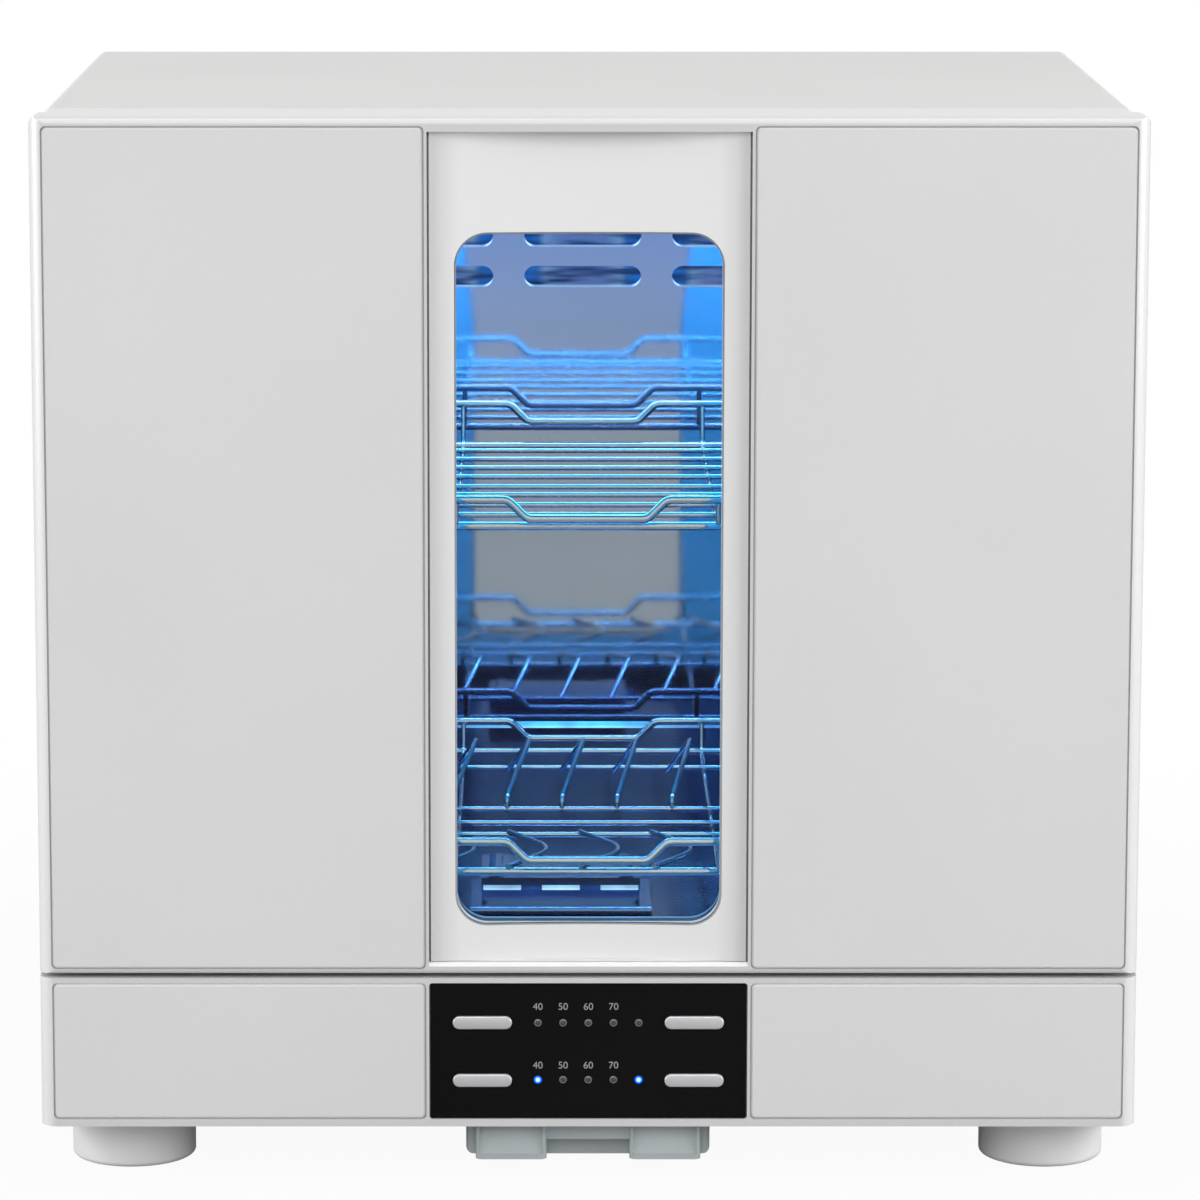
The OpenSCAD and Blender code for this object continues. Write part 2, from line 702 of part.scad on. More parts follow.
// The motor over the scroll, bored for the shaft
module fan_motor() color("#7F8487") translate([fan_x, fan_y, fan_z0 + fan_h]) difference() {
    h = motor_top - fan_z0 - fan_h;
    union() {
        cylinder(r = 26, h = h - 6);
        translate([0, 0, h - 6]) cylinder(r = 12, h = 6);
        for (a = [0:120:240]) rotate(a) translate([24, -5, 0]) cube([14, 10, 2]);
    }
    translate([0, 0, -1]) cylinder(r = shaft_r + pin_fit, h = h + 2);
}

// The mains board: a board on four posts, with transformer, capacitor and relay
module power_supply() translate([95, 20, plate_z]) {
    color("#2E6B45") translate([0, 0, 6]) cube([110, 90, 1.6]);
    color("#B9BCBE") for (x = [6, 104], y = [6, 84]) translate([x, y, 0]) cylinder(r = 3, h = 6);
    color("#C7A24A") translate([12, 14, 7.6]) cube([38, 34, 30]);
    color("#2B2D33") translate([74, 30, 7.6]) cylinder(r = 11, h = 26);
    color("#2F5FA8") translate([14, 62, 7.6]) cube([20, 16, 15]);
    color("#303436") translate([60, 62, 7.6]) cube([36, 12, 22]);
}

// The lamp's ballast, in its folded can
module lamp_ballast() color("#E6E7E4") translate([-190, 40, plate_z]) difference() {
    union() {
        cube([46, 110, 28]);
        translate([10, -12, 0]) cube([26, 134, 1.5]);
    }
    for (y = [-7, 117]) translate([23, y, -1]) cylinder(r = 2.2, h = 4);
}

// The bush in the rear wall that a mains lead would pass through
module cord_gland() color("#2A2B2C") translate([cord_x, back_y, cord_z]) rotate([90, 0, 0]) rotate_extrude()
    polygon([[cord_r, 0], [7.9, 0], [7.9, 3], [11, 3], [11, 6], [7.5, 6], [6.5, 14], [cord_r, 14]]);

// Four feet: turned plastic blocks, rounded below, hollow for a pad and a screw
module feet() color("#EDEEEE") for (x = [-foot_x, foot_x], y = [-foot_y, foot_y]) translate([x, y, 0]) foot();

module foot() rotate_extrude() {
    round = 2.5;
    low = 0.8;
    translate([2.2, 12]) square([foot_d / 2 - 2.2 - 1, foot_h - 12]);
    translate([5.5, 3]) square([foot_d / 2 - 5.5 - 0.3, 9 + eps]);
    translate([pad_r + 0.15, low]) square([foot_d / 2 - pad_r - 0.15 - round, 3]);
    translate([foot_d / 2 - round, low + round]) circle(round);
    translate([pad_r + 0.15, low + round - eps])
        square([foot_d / 2 - pad_r - 0.15, foot_h - low - round + eps]);
}

// The rubber discs let into the feet
module foot_pads() color("#3A3B3C") for (x = [-foot_x, foot_x], y = [-foot_y, foot_y])
    translate([x, y, 0]) cylinder(r = pad_r, h = 3);

// Two folded rails under the base plate that the tray's flanges ride on
module tray_rails() color("#B4B6B6") both_sides() {
    y0 = tray_front + 32;
    y1 = tray_front + tray_d + 6;
    slab([rail_x + 5, y0, foot_h - 8], [rail_x + 6.5, y1, foot_h]);
    slab([rail_x, y0, foot_h - 8], [rail_x + 5, y1, foot_h - 6.6]);
    slab([rail_x + 6.5, y0, foot_h - 1.5], [rail_x + 15, y1, foot_h]);
}

// Screws under the base: one up each post, those of the feet sunk in the feet
module housing_screws() color("#8E9294") for (p = posts) translate([p.x, p.y, 0]) {
    seat = abs(p.x) == foot_x && abs(p.y) == foot_y ? 12 : foot_h;
    translate([0, 0, seat - eps]) cylinder(r = 1.65, h = foot_h + 20 - seat);
    translate([0, 0, seat - 2]) cylinder(r = 4, h = 2);
}

// The magnets that hold the door shut, let into the front frame
module catch_magnets() color("#5B5D60") both_sides()
    slab([magnet_x, frame_front + 0.2, magnet_z],
         [magnet_x + magnet_w, frame_front + 8, magnet_z + magnet_l]);

// ---- Hinge ------------------------------------------------------------------

// The round barrel that fills the groove behind the door's middle, on its foot
module hinge_barrel() color("#E9EAEA") difference() {
    union() {
        rod_x(-barrel_half, barrel_half, hinge_y, hinge_z, barrel_r);
        slab([-barrel_half, hinge_y + 0.5, groove_z], [barrel_half, hinge_y + groove_reach, hinge_z - 2.5]);
    }
    rod_x(-barrel_half - 1, barrel_half + 1, hinge_y, hinge_z, bush_r);
}

// Two turned bushes in the barrel's ends
module hinge_bushes() color("#C8A552") both_sides() difference() {
    rod_x(barrel_half - 14, barrel_half, hinge_y, hinge_z, bush_r);
    rod_x(barrel_half - 15, barrel_half + 1, hinge_y, hinge_z, pin_r + pin_fit);
}

module hinge_pin() color("#A7ABAE") rod_x(-ear_in - ear_t, ear_in + ear_t, hinge_y, hinge_z, pin_r);

// The door's two ears, each folded to a flange under the door's top wall
module hinge_ears() color("#B4B6B6") both_sides() difference() {
    union() {
        rod_x(ear_in, ear_in + ear_t, hinge_y, hinge_z, 4.8);
        slab([ear_in, front_y + 8, hinge_z - 4.3], [ear_in + ear_t, hinge_y, door_top_in]);
        slab([ear_in, front_y + 8, door_top_in - 1.6], [ear_in + 26, front_y + 18, door_top_in]);
    }
    rod_x(ear_in - 1, ear_in + ear_t + 1, hinge_y, hinge_z, pin_r);
    for (x = [10, 20]) translate([ear_in + x, front_y + 13, door_top_in - 3]) cylinder(r = 1.3, h = 4);
}

// ---- Door -------------------------------------------------------------------

// The space within the hollow of the middle column, out to a depth behind its surface
module column_space(depth) {
    translate([0, column_axis, door_z0 - 20]) cylinder(r = column_r + depth, h = total_h, $fn = fine);
}

module window_outline(grow) {
    translate([-window_w / 2 - grow, window_z0 - grow])
        round_rect(window_w + 2 * grow, window_h + 2 * grow, window_r + grow);
}

// The door's outer shape: rounded upright edges, a rounded top edge and a softer lower one
module door_solid() intersection() {
    translate([0, 0, door_z0]) linear_extrude(total_h - door_z0) {
        translate([-half_w + corner_r, front_y]) square([body_w - 2 * corner_r, door_d]);
        translate([-half_w, front_y + corner_r]) square([body_w, door_d - corner_r]);
        for (x = [-1, 1]) translate([x * (half_w - corner_r), front_y + corner_r]) circle(corner_r);
    }
    across(-half_w - 1, half_w + 1) {
        translate([front_y + edge_r, door_z0]) square([door_d - edge_r, total_h - door_z0]);
        translate([front_y, door_z0 + 2]) square([door_d, total_h - door_z0 - 2 - edge_r]);
        translate([front_y + edge_r, total_h - edge_r]) circle(edge_r);
        translate([front_y + 2, door_z0 + 2]) circle(2);
        translate([front_y + 2, door_z0]) square([door_d - 2, 4]);
    }
    upright(front_y - 1, door_back + 1) translate([-half_w, door_z0]) arch_rect(body_w, total_h - door_z0, 4);
}

// The door's moulding: a shell open at the back, with two sunk fields and the column's opening
module door_frame() color("#F6F7F7") difference() {
    union() {
        difference() {
            door_solid();
            slab([-half_w + side_t, front_y + skin, door_z0 + wall_t],
                 [half_w - side_t, door_back + 1, door_top_in]);
        }
        for (p = door_posts) rod_y(p.x, p.y, front_y + skin - eps, liner_front, 4);
    }
    both_sides() front_panel(panel_in - reveal, panel_out + reveal, panel_z0 - reveal, panel_z1 + reveal,
                             front_y - 1, front_y + panel_t, 2.5);
    slab([-column_w / 2, front_y - 1, column_z0], [column_w / 2, front_y + skin + 1, column_z1]);
    across(-column_w / 2, column_w / 2) polygon([[front_y - 1, column_z0 - column_lip - 1],
        [front_y + column_lip, column_z0], [front_y + column_lip, column_z0 + 1],
        [front_y - 1, column_z0 + 1]]);
    for (p = door_posts) rod_y(p.x, p.y, front_y + skin + 1, door_back, 1.3);
    rod_x(-ear_in - ear_t - 1.2, ear_in + ear_t + 1.2, hinge_y, hinge_z, barrel_r + 0.5);
    for (x = [10, 20], s = [-1, 1])
        translate([s * (ear_in + x), front_y + 13, door_top_in - 1]) cylinder(r = 1.15, h = 3);
}

// A flush panel of the door, its rim lightly chamfered
module door_panel(x0, x1) color("#D4D5D5") {
    front_panel(x0 + 0.6, x1 - 0.6, panel_z0 + 0.6, panel_z1 - 0.6, front_y + eps, front_y + panel_t, 1.4);
    front_panel(x0, x1, panel_z0, panel_z1, front_y + 0.6, front_y + panel_t, 2);
}

module door_panel_left() door_panel(-panel_out, -panel_in);
module door_panel_right() door_panel(panel_in, panel_out);

// The hollow middle column: a curved plate with side walls, a flange and a collar round the window
module window_bezel() color("#E6E7E8") difference() {
    x = column_w / 2 - column_gap;
    z0 = column_z0 + 0.2;
    z1 = column_z1 - 0.2;
    union() {
        intersection() {
            slab([-x, front_y, z0], [x, glass_front + 1, z1]);
            column_space(3.5);
        }
        upright(front_y, front_y + skin + 1.5) difference() {
            translate([-x, z0]) square([2 * x, z1 - z0]);
            translate([-x + 1.8, z0 + 1.8]) square([2 * x - 3.6, z1 - z0 - 3.6]);
        }
        upright(front_y + skin, front_y + skin + 1.5) difference() {
            translate([-x - 5, z0 - 1.5]) square([2 * x + 10, z1 - z0 + 3]);
            translate([-x + 1.8, z0 + 1.8]) square([2 * x - 3.6, z1 - z0 - 3.6]);
        }
        upright(front_y + 1, glass_front) window_outline(3);
    }
    column_space(0);
    upright(front_y - 1, glass_front + 2) window_outline(0);
    intersection() {
        upright(front_y - 1, glass_front) window_outline(trim_ring);
        column_space(2);
    }
}

// The thin bright ring let into the column round the window
module window_trim() color("#C9CCCE") difference() {
    intersection() {
        upright(front_y, glass_front) window_outline(trim_ring);
        column_space(2);
    }
    column_space(0);
    upright(front_y - 1, glass_front + 1) window_outline(0);
}

module window_glass() color("#9FB4BC")
    front_panel(-window_w / 2 - 5.3, window_w / 2 + 5.3, window_z0 - 5.3, window_z1 + 5.3,
                glass_front, glass_front + glass_t, 8);

// The frame that holds the glass against the column, between the glass and the liner
module glass_retainer() color("#D9DADB") difference() {
    upright(glass_front + glass_t, liner_front) window_outline(9);
    upright(glass_front, liner_front + 1) window_outline(0.5);
}

// The door's inner cover, notched for the hinge and grooved for the gasket
module door_liner() color("#EDEEEE") difference() {
    upright(liner_front, door_back) translate([-half_w + side_t + 0.3, door_z0 + wall_t + 0.3])
        square([body_w - 2 * side_t - 0.6, door_top_in - door_z0 - wall_t - 0.6]);
    upright(liner_front - 1, door_back + 1) window_outline(0.5);
    slab([-ear_in - ear_t - 2.2, liner_front - 1, groove_z - 2.5],
         [ear_in + ear_t + 2.2, door_back + 1, total_h]);
    upright(door_back - 1.5, door_back + 1) gasket_outline();
    for (p = door_posts) rod_y(p.x, p.y, liner_front - 1, door_back + 1, 1.6);
    for (p = door_posts) rod_y(p.x, p.y, door_back - 1.2, door_back + 1, 2.9);
    both_sides()
        slab([magnet_x, door_back - 0.6, magnet_z], [magnet_x + magnet_w, door_back + 1, magnet_z + magnet_l]);
}

// The ring between the mouth and the edge of the frame where the gasket seals
module gasket_outline() difference() {
    mouth_outline(6.3);
    mouth_outline(2.6);
}

module door_gasket() color("#C6C9CB") upright(door_back - 1.5, frame_front - 0.3) gasket_outline();

module strike_plates() color("#B4B6B6") both_sides()
    slab([magnet_x, door_back - 0.6, magnet_z], [magnet_x + magnet_w, door_back, magnet_z + magnet_l]);

// Screws that hold the liner and the ears
module door_screws() color("#8E9294") {
    for (p = door_posts) {
        rod_y(p.x, p.y, front_y + skin + 4, door_back - 1.2, 1.3);
        rod_y(p.x, p.y, door_back - 1.2, door_back - 0.2, 2.8);
    }
    for (x = [10, 20], s = [-1, 1]) translate([s * (ear_in + x), front_y + 13, 0]) {
        translate([0, 0, door_top_in - 1.6 - eps]) cylinder(r = 1.15, h = 3.4);
        translate([0, 0, door_top_in - 3.1]) cylinder(r = 2.4, h = 1.5);
    }
}

// ---- Racks and tray ----------------------------------------------------------

// A wire bent up at both ends, from front to back
module keel(x, front, back, floor, z_front, z_back) {
    wire(bent([[x, front, z_front], [x, front + 3, floor - 0.9],
               [x, back - 3, floor - 0.9], [x, back, z_back]],
              6), floor_wire / 2, [1, 0, 0], 6);
}

// A wire bent up at both ends, across the rack
module rib(y, floor, z) {
    wire(bent([[-rack_x, y, z], [-rack_x + 3, y, floor + 1.2], [rack_x - 3, y, floor + 1.2], [rack_x, y, z]],
              6), floor_wire / 2, [0, 1, 0], 6);
}

// The heavier wire round the edge of a rack's floor
module floor_loop(front, back, floor) {
    x = rack_x - 3;
    wire(bent_loop([[-x, front + 4, floor], [x, front + 4, floor],
                    [x, back - 4, floor], [-x, back - 4, floor]], 10),
         rim_wire / 2, [0, 0, 1], 8, closed = true);
}

module rim(front, back, z_front, z_back) {
    wire(bent_loop(rim_corners(rack_x, front, back, z_front, z_back, rim_dip), 5, 2),
         rim_wire / 2, [0, 0, 1], 8, closed = true);
}

// The upper rack: rim, keels and ribs, for cups and bowls
module upper_rack() color("#C4C8CC") {
    rim(upper_front, upper_back, upper_rim_front, upper_rim_back);
    floor_loop(upper_front, upper_back, upper_floor);
    for (x = [-160, -61, 61, 160])
        keel(x, upper_front, upper_back, upper_floor, upper_rim_front, upper_rim_back);
    for (y = upper_ribs)
        rib(y, upper_floor, upper_rim_front + (upper_rim_back - upper_rim_front) * (y - upper_front)
            / (upper_back - upper_front));
}

// The lower rack's two heavy wires: its rim and the loop round its floor
module lower_rack() color("#C4C8CC") {
    rim(lower_front, lower_back, lower_rim, lower_rim);
    floor_loop(lower_front, lower_back, lower_floor);
}

// The lighter wires that hang in the lower rack's rim: keels below and ribs on top of them
module lower_grid() color("#C4C8CC") {
    for (x = [-160, -61, 61, 160])
        keel(x, lower_front, lower_back, lower_floor - 0.5, lower_rim, lower_rim);
    for (y = lower_ribs) rib(y, lower_floor + 0.1, lower_rim);
}

// Hoops welded to the lower rack, which lean to hold plates on edge between them
module plate_hoops() color("#C4C8CC") for (i = [-6:8]) {
    x = -38 + i * plate_pitch;
    wire(bent([[x, -9, lower_floor], [x, -9, lower_floor + 7], [x + 11, 69, lower_floor + 20],
               [x, 90, lower_floor]], 3, 2), floor_wire / 2, [1, 0, 0], 6);
}

// Bowed wires welded across the front of the lower rack's floor, for cups
module cup_hoops() color("#C4C8CC") for (i = [-5:5]) {
    x = -3 + i * cup_pitch;
    z = lower_floor + 2.9;
    wire(bent([[x, -68, z], [x + 22, -106, z], [x, -143, z]], 26, 4), floor_wire / 2, [0, 0, 1], 6);
}

// One of the tray's two grips: a block whose face slopes back between narrow rims
module tray_grip() {
    x0 = 19;
    x1 = 51.5;
    rim = 1.7;
    difference() {
        translate([x0, tray_front, tray_z0]) linear_extrude(tray_z1 - tray_z0)
            round_rect(x1 - x0, tray_body - tray_front + 6, 3);
        across(x0 + rim, x1 - rim) polygon([
            [tray_front - 1, tray_z0 + 2.4], [tray_front + 0.8, tray_z0 + 2.4],
            [tray_front + 4, tray_z1 + 1], [tray_front - 1, tray_z1 + 1]]);
    }
}

// The drip tray: a shallow pan, round at its lower corners, with a slide flange on each side
// and two grips that a bar joins at the front
module drip_tray() color("#A9B5B3") {
    back = tray_front + tray_d;
    difference() {
        union() {
            intersection() {
                translate([-tray_w / 2, tray_body, tray_z0]) linear_extrude(tray_z1 - tray_z0)
                    round_rect(tray_w, back - tray_body, 4);
                upright(tray_body - 1, back + 1) translate([-tray_w / 2, tray_z0])
                    pan_rect(tray_w, tray_z1 - tray_z0, 3);
            }
            slab([-rail_x - 4.5, tray_front + 34, foot_h - 6.2], [rail_x + 4.5, back - 6, foot_h - 4.2]);
            both_sides() tray_grip();
            slab([-20, tray_front + 3, tray_z0 + 8.8], [20, tray_body + 1, tray_z1 - 1]);
        }
        translate([-tray_w / 2 + tray_wall, tray_body + tray_wall, tray_z0 + tray_wall])
            linear_extrude(tray_z1) round_rect(tray_w - 2 * tray_wall, back - tray_body - 2 * tray_wall, 3);
    }
}

// ---- Pieces -------------------------------------------------------------------

front_frame();
case_wrap();
back_panel();
chamber_sides();
chamber_ceiling();
chamber_floor();
back_reflector();
lamp_guard();
uv_lamp();
lamp_sockets();
lamp_reflector();
rack_ledges();
base_housing();
base_plate();
control_fascia();
trim_left();
trim_right();
lamp_lenses();
control_board();
hot_air_outlet();
heater_duct();
heater_element();
fan_housing();
fan_motor();
power_supply();
lamp_ballast();
drain_spout();
hinge_barrel();
hinge_bushes();
catch_magnets();
cord_gland();
feet();
foot_pads();
tray_rails();
housing_screws();
door_frame();
door_panel_left();
door_panel_right();
window_bezel();
window_trim();
window_glass();
glass_retainer();
door_liner();
door_gasket();
hinge_ears();
hinge_pin();
strike_plates();
door_screws();
fan_wheel();
fan_shaft();
button_hot_air();
button_uv();
button_auto();
button_cancel();
upper_rack();
lower_rack();
lower_grid();
plate_hoops();
cup_hoops();
drip_tray();
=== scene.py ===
# %% [markdown]
# # A countertop dish sterilizer cabinet
# The cabinet stands on a worktop: a lift-up door with a tall window, a steel chamber with two wire
# racks under an ultraviolet lamp, and a base with buttons, a fan heater and a drip tray.
# The solid model comes in as a fixed frame, in metres, and this file dresses it: it replaces what
# needs finer shapes, and gives every other piece the finish of its real material.

import math

import bmesh
import bpy
from mathutils import Matrix, Vector


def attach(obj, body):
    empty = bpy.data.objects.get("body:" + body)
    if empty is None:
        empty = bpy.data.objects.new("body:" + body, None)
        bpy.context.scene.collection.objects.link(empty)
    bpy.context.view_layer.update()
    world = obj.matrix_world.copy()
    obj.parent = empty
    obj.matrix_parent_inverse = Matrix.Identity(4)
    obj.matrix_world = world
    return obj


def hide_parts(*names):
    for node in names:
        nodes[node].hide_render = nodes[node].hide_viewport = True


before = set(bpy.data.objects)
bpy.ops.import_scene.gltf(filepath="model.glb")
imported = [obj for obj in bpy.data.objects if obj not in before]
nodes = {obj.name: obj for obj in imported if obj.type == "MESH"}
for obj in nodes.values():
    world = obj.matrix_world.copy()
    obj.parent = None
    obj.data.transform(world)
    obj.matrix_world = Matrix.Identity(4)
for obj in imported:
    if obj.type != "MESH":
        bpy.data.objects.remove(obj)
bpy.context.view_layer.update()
MM = 0.001

# %% [markdown]
# ## Camera
# The photograph was taken with a long lens from a little above the cabinet's top. The lens, the
# place and the shift below were solved from the straight edges of the top and the front. A camera can
# also be set by eye, but only a solved one lets the render be laid over the photograph.

# %% Place the camera
camera_data = bpy.data.cameras.new("camera")
camera_data.lens = 169.1
camera_data.shift_x = 0.0525
camera_data.shift_y = -0.0667
camera_data.clip_end = 50
camera = bpy.data.objects.new("camera", camera_data)
camera.location = (-0.02339, -2.69801, 0.71045)
camera.rotation_euler = (math.radians(90 - 9.2029), 0, 0)
bpy.context.scene.collection.objects.link(camera)
bpy.context.scene.camera = camera
print("camera", camera_data.lens, "mm lens,", round(camera.location.length, 2), "m away")

# %% [markdown]
# ## Material helpers
# A colour is written as the hex value that a picture editor shows, and one function turns it to the
# linear light that Blender works in. A second function adds one shader node with its settings and
# links. A third lays down what most of this cabinet's finishes share: a surface with a fine,
# real-sized texture that also shifts the colour and the shine a little. Where a finish depends on the
# way a face points, the direction is taken in the piece's own frame, so it moves with the door.

# %% Colours and nodes
def linear(hex_code):
    """An sRGB hex colour as linear red, green, blue and alpha."""
    parts = [int(hex_code[i:i + 2], 16) / 255 for i in (1, 3, 5)]
    return tuple(c / 12.92 if c <= 0.04045 else ((c + 0.055) / 1.055) ** 2.4 for c in parts) + (1.0,)


def add(tree, kind, inputs=None, **settings):
    """Adds one node. A value in inputs is set on that socket, and a socket in inputs is linked to it."""
    made = tree.nodes.new(kind)
    for name, value in settings.items():
        setattr(made, name, value)
    for key, value in (inputs or {}).items():
        if isinstance(value, bpy.types.NodeSocket):
            tree.links.new(value, made.inputs[key])
        else:
            made.inputs[key].default_value = value
    return made


def stops(made, *marks):
    """Sets the stops of a colour ramp. Each mark is a place and a hex colour."""
    elements = made.color_ramp.elements
    while len(elements) > 1:
        elements.remove(elements[-1])
    for i, (place, colour) in enumerate(marks):
        element = elements[0] if i == 0 else elements.new(place)
        element.position = place
        element.color = linear(colour)
    return made


def start(name, **shader):
    """An empty material with a Principled shader, set from keywords such as Roughness=0.4."""
    made = bpy.data.materials.new(name)
    made.use_nodes = True
    tree = made.node_tree
    tree.nodes.clear()
    surface = add(tree, "ShaderNodeBsdfPrincipled", {k.replace("_", " "): v for k, v in shader.items()})
    add(tree, "ShaderNodeOutputMaterial", {"Surface": surface.outputs[0]})
    return made, tree, surface


def textured(name, colour, shade, roughness, spread, grain_mm, depth_mm, stretch=(1, 1, 1), **shader):
    """A finish with grain of a real size, stronger and fainter in patches some 110 mm wide: it runs the
    colour towards shade, the roughness by spread and lifts the surface by depth. stretch makes the
    grain longer along an axis."""
    made, tree, surface = start(name, **shader)
    place = add(tree, "ShaderNodeTexCoord")
    scale = [1 / s for s in stretch]
    turned = add(tree, "ShaderNodeMapping", {"Vector": place.outputs["Object"], "Scale": scale})
    fine = add(tree, "ShaderNodeTexNoise", {"Vector": turned.outputs[0], "Scale": 1 / (grain_mm * MM),
                                            "Detail": 3.0, "Roughness": 0.6})
    wide = add(tree, "ShaderNodeTexNoise", {"Vector": turned.outputs[0], "Scale": 0.009 / MM,
                                            "Detail": 2.0})
    both = add(tree, "ShaderNodeMath", {0: fine.outputs[0], 1: wide.outputs[0]}, operation="MULTIPLY")
    tone = stops(add(tree, "ShaderNodeValToRGB", {"Fac": both.outputs[0]}),
                 (0.12, shade), (0.38, colour))
    gloss = add(tree, "ShaderNodeMapRange", {"Value": fine.outputs[0], "From Min": 0.3, "From Max": 0.7,
                                             "To Min": roughness - spread, "To Max": roughness + spread})
    lift = add(tree, "ShaderNodeBump", {"Height": fine.outputs[0], "Strength": 0.5,
                                        "Distance": depth_mm * MM})
    tree.links.new(tone.outputs[0], surface.inputs["Base Color"])
    tree.links.new(gloss.outputs[0], surface.inputs["Roughness"])
    tree.links.new(lift.outputs[0], surface.inputs["Normal"])
    return made


def facing(tree, kind="True Normal"):
    """The way a surface faces in its own piece's frame, which stays the same as the piece moves."""
    shape = add(tree, "ShaderNodeNewGeometry")
    own = add(tree, "ShaderNodeVectorTransform", {"Vector": shape.outputs[kind]}, vector_type="NORMAL",
              convert_from="WORLD", convert_to="OBJECT")
    return add(tree, "ShaderNodeSeparateXYZ", {0: own.outputs[0]}).outputs


def squareness(tree):
    """How squarely a surface looks out of its piece's front: 1 where it faces straight forward."""
    towards = add(tree, "ShaderNodeMath", {0: facing(tree, "Normal")[1], 1: -1.0}, operation="MULTIPLY")
    return towards.outputs[0]


def fine_bump(tree, surface, grains, depth_mm):
    """Lifts a surface by fine noise of a real depth, with so many grains to the millimetre."""
    place = add(tree, "ShaderNodeTexCoord")
    grain = add(tree, "ShaderNodeTexNoise", {"Vector": place.outputs["Object"], "Scale": grains / MM,
                                             "Detail": 2.0})
    lift = add(tree, "ShaderNodeBump", {"Height": grain.outputs[0], "Strength": 0.5,
                                        "Distance": depth_mm * MM})
    tree.links.new(lift.outputs[0], surface.inputs["Normal"])


def principled(finish):
    """A material's tree and its surface shader."""
    tree = finish.node_tree
    return tree, next(n for n in tree.nodes if n.type == "BSDF_PRINCIPLED")


def dress(finish, *names):
    """Gives CAD nodes a finish."""
    for name in names:
        solid = nodes[name]
        for place in solid.material_slots:
            place.material = finish
        if not solid.material_slots:
            solid.data.materials.append(finish)


# %% [markdown]
# ## White and grey mouldings
# The door, the base and the ring behind the door are ABS, injection moulded in a tool with a very
# fine spark-eroded texture. The real grain is near 0.1 mm, too fine to show from here, so it is drawn
# at 0.6 mm and kept faint. The flat panels are sprayed a light grey with a satin sheen. A photograph of
# plastic could carry such a grain. Noise on the piece's own coordinates needs none, and has no seams.

# %% Moulded and painted finishes
white_abs, tree, surface = start("moulded white ABS", Roughness=0.24, IOR=1.49)
# Painted shade: faces that look squarely out of the front are coloured a little darker than their rounded
# edges
painted_front_shade = stops(add(tree, "ShaderNodeValToRGB", {"Fac": squareness(tree)}),
             (0.90, "#CFCFCF"), (0.985, "#C6C6C6"))
tree.links.new(painted_front_shade.outputs[0], surface.inputs["Base Color"])
fine_bump(tree, surface, 1.6, 0.005)

# Painted shade: the column's colour darkens towards its edges, where its hollow lies in the shade of the
# panels beside it
column_abs, tree, surface = start("satin pale ABS of the column", Roughness=0.42, IOR=1.49)
place = add(tree, "ShaderNodeTexCoord")
parts = add(tree, "ShaderNodeSeparateXYZ", {0: place.outputs["Object"]})
reach = add(tree, "ShaderNodeMath", {0: parts.outputs[0]}, operation="ABSOLUTE")
edge = add(tree, "ShaderNodeMapRange", {"Value": reach.outputs[0], "From Min": 0.058, "From Max": 0.073})
painted_edge_shade = stops(add(tree, "ShaderNodeValToRGB", {"Fac": edge.outputs[0]}),
             (0.0, "#DDDDDD"), (0.5, "#D2D2D2"), (1.0, "#BEBEBE"))
tree.links.new(painted_edge_shade.outputs[0], surface.inputs["Base Color"])
fine_bump(tree, surface, 1.6, 0.006)

liner_abs = textured("moulded liner ABS", "#DCDDDD", "#D6D8D8", 0.38, 0.05, 0.8, 0.01, IOR=1.49)
panel_paint = textured("satin grey spray paint", "#D1D1D1", "#CECECE", 0.36, 0.04, 0.9, 0.004,
                       IOR=1.5, Coat_Weight=0.15, Coat_Roughness=0.25)
case_paint = textured("powder coat on the steel case", "#D1D1D0", "#CDCDCC", 0.40, 0.06, 1.4, 0.02,
                      IOR=1.5)
foot_plastic = textured("moulded white PP of the feet", "#D8D8D8", "#D2D2D2", 0.45, 0.06, 0.8, 0.01,
                        IOR=1.49)
socket_white = textured("glazed lamp socket", "#F0EFEA", "#E4E2DA", 0.25, 0.04, 1.2, 0.005, IOR=1.5)
dress(white_abs, "door_frame", "front_frame", "base_housing", "hinge_barrel")
dress(column_abs, "window_bezel")
dress(liner_abs, "door_liner")
# Painted light: the walls of each panel glow faintly, in place of light passed between a gap's walls,
# which keeps the reveal round a panel grey rather than black
tree, surface = principled(panel_paint)
painted_wall_glow = add(tree, "ShaderNodeMapRange", {"Value": facing(tree)[1], "From Min": -0.9, "From Max": -0.5,
                                         "To Min": 0.0, "To Max": 0.35})
surface.inputs["Emission Color"].default_value = linear("#F0F0F0")
tree.links.new(painted_wall_glow.outputs[0], surface.inputs["Emission Strength"])
dress(panel_paint, "door_panel_left", "door_panel_right", "trim_left", "trim_right")
dress(case_paint, "case_wrap")
dress(foot_plastic, "feet")
dress(socket_white, "lamp_sockets")

# The retainer is white on the side that faces the chamber. Its other faces are painted a dark blue-grey,
# as shade on the ledge at the foot of the window
retainer_abs, tree, surface = start("retainer ABS with painted shade on its front", Roughness=0.45, IOR=1.49)
painted_ledge_shade = stops(add(tree, "ShaderNodeValToRGB", {"Fac": facing(tree)[1]}),
             (0.4, "#1A2430"), (0.6, "#DCDEDF"))
tree.links.new(painted_ledge_shade.outputs[0], surface.inputs["Base Color"])
fine_bump(tree, surface, 1.2, 0.01)
dress(retainer_abs, "glass_retainer")

# %% [markdown]
# ## Metals
# The chamber is stainless sheet. Its floor, sides and top keep the fine lines of the rolling, which
# run from side to side and stretch every reflection along them. The back and the sloping guard are
# polished until they mirror the racks and the window. Blender's anisotropic gloss could stretch the
# reflections too, but noise drawn out along one axis also shows as lines up close.

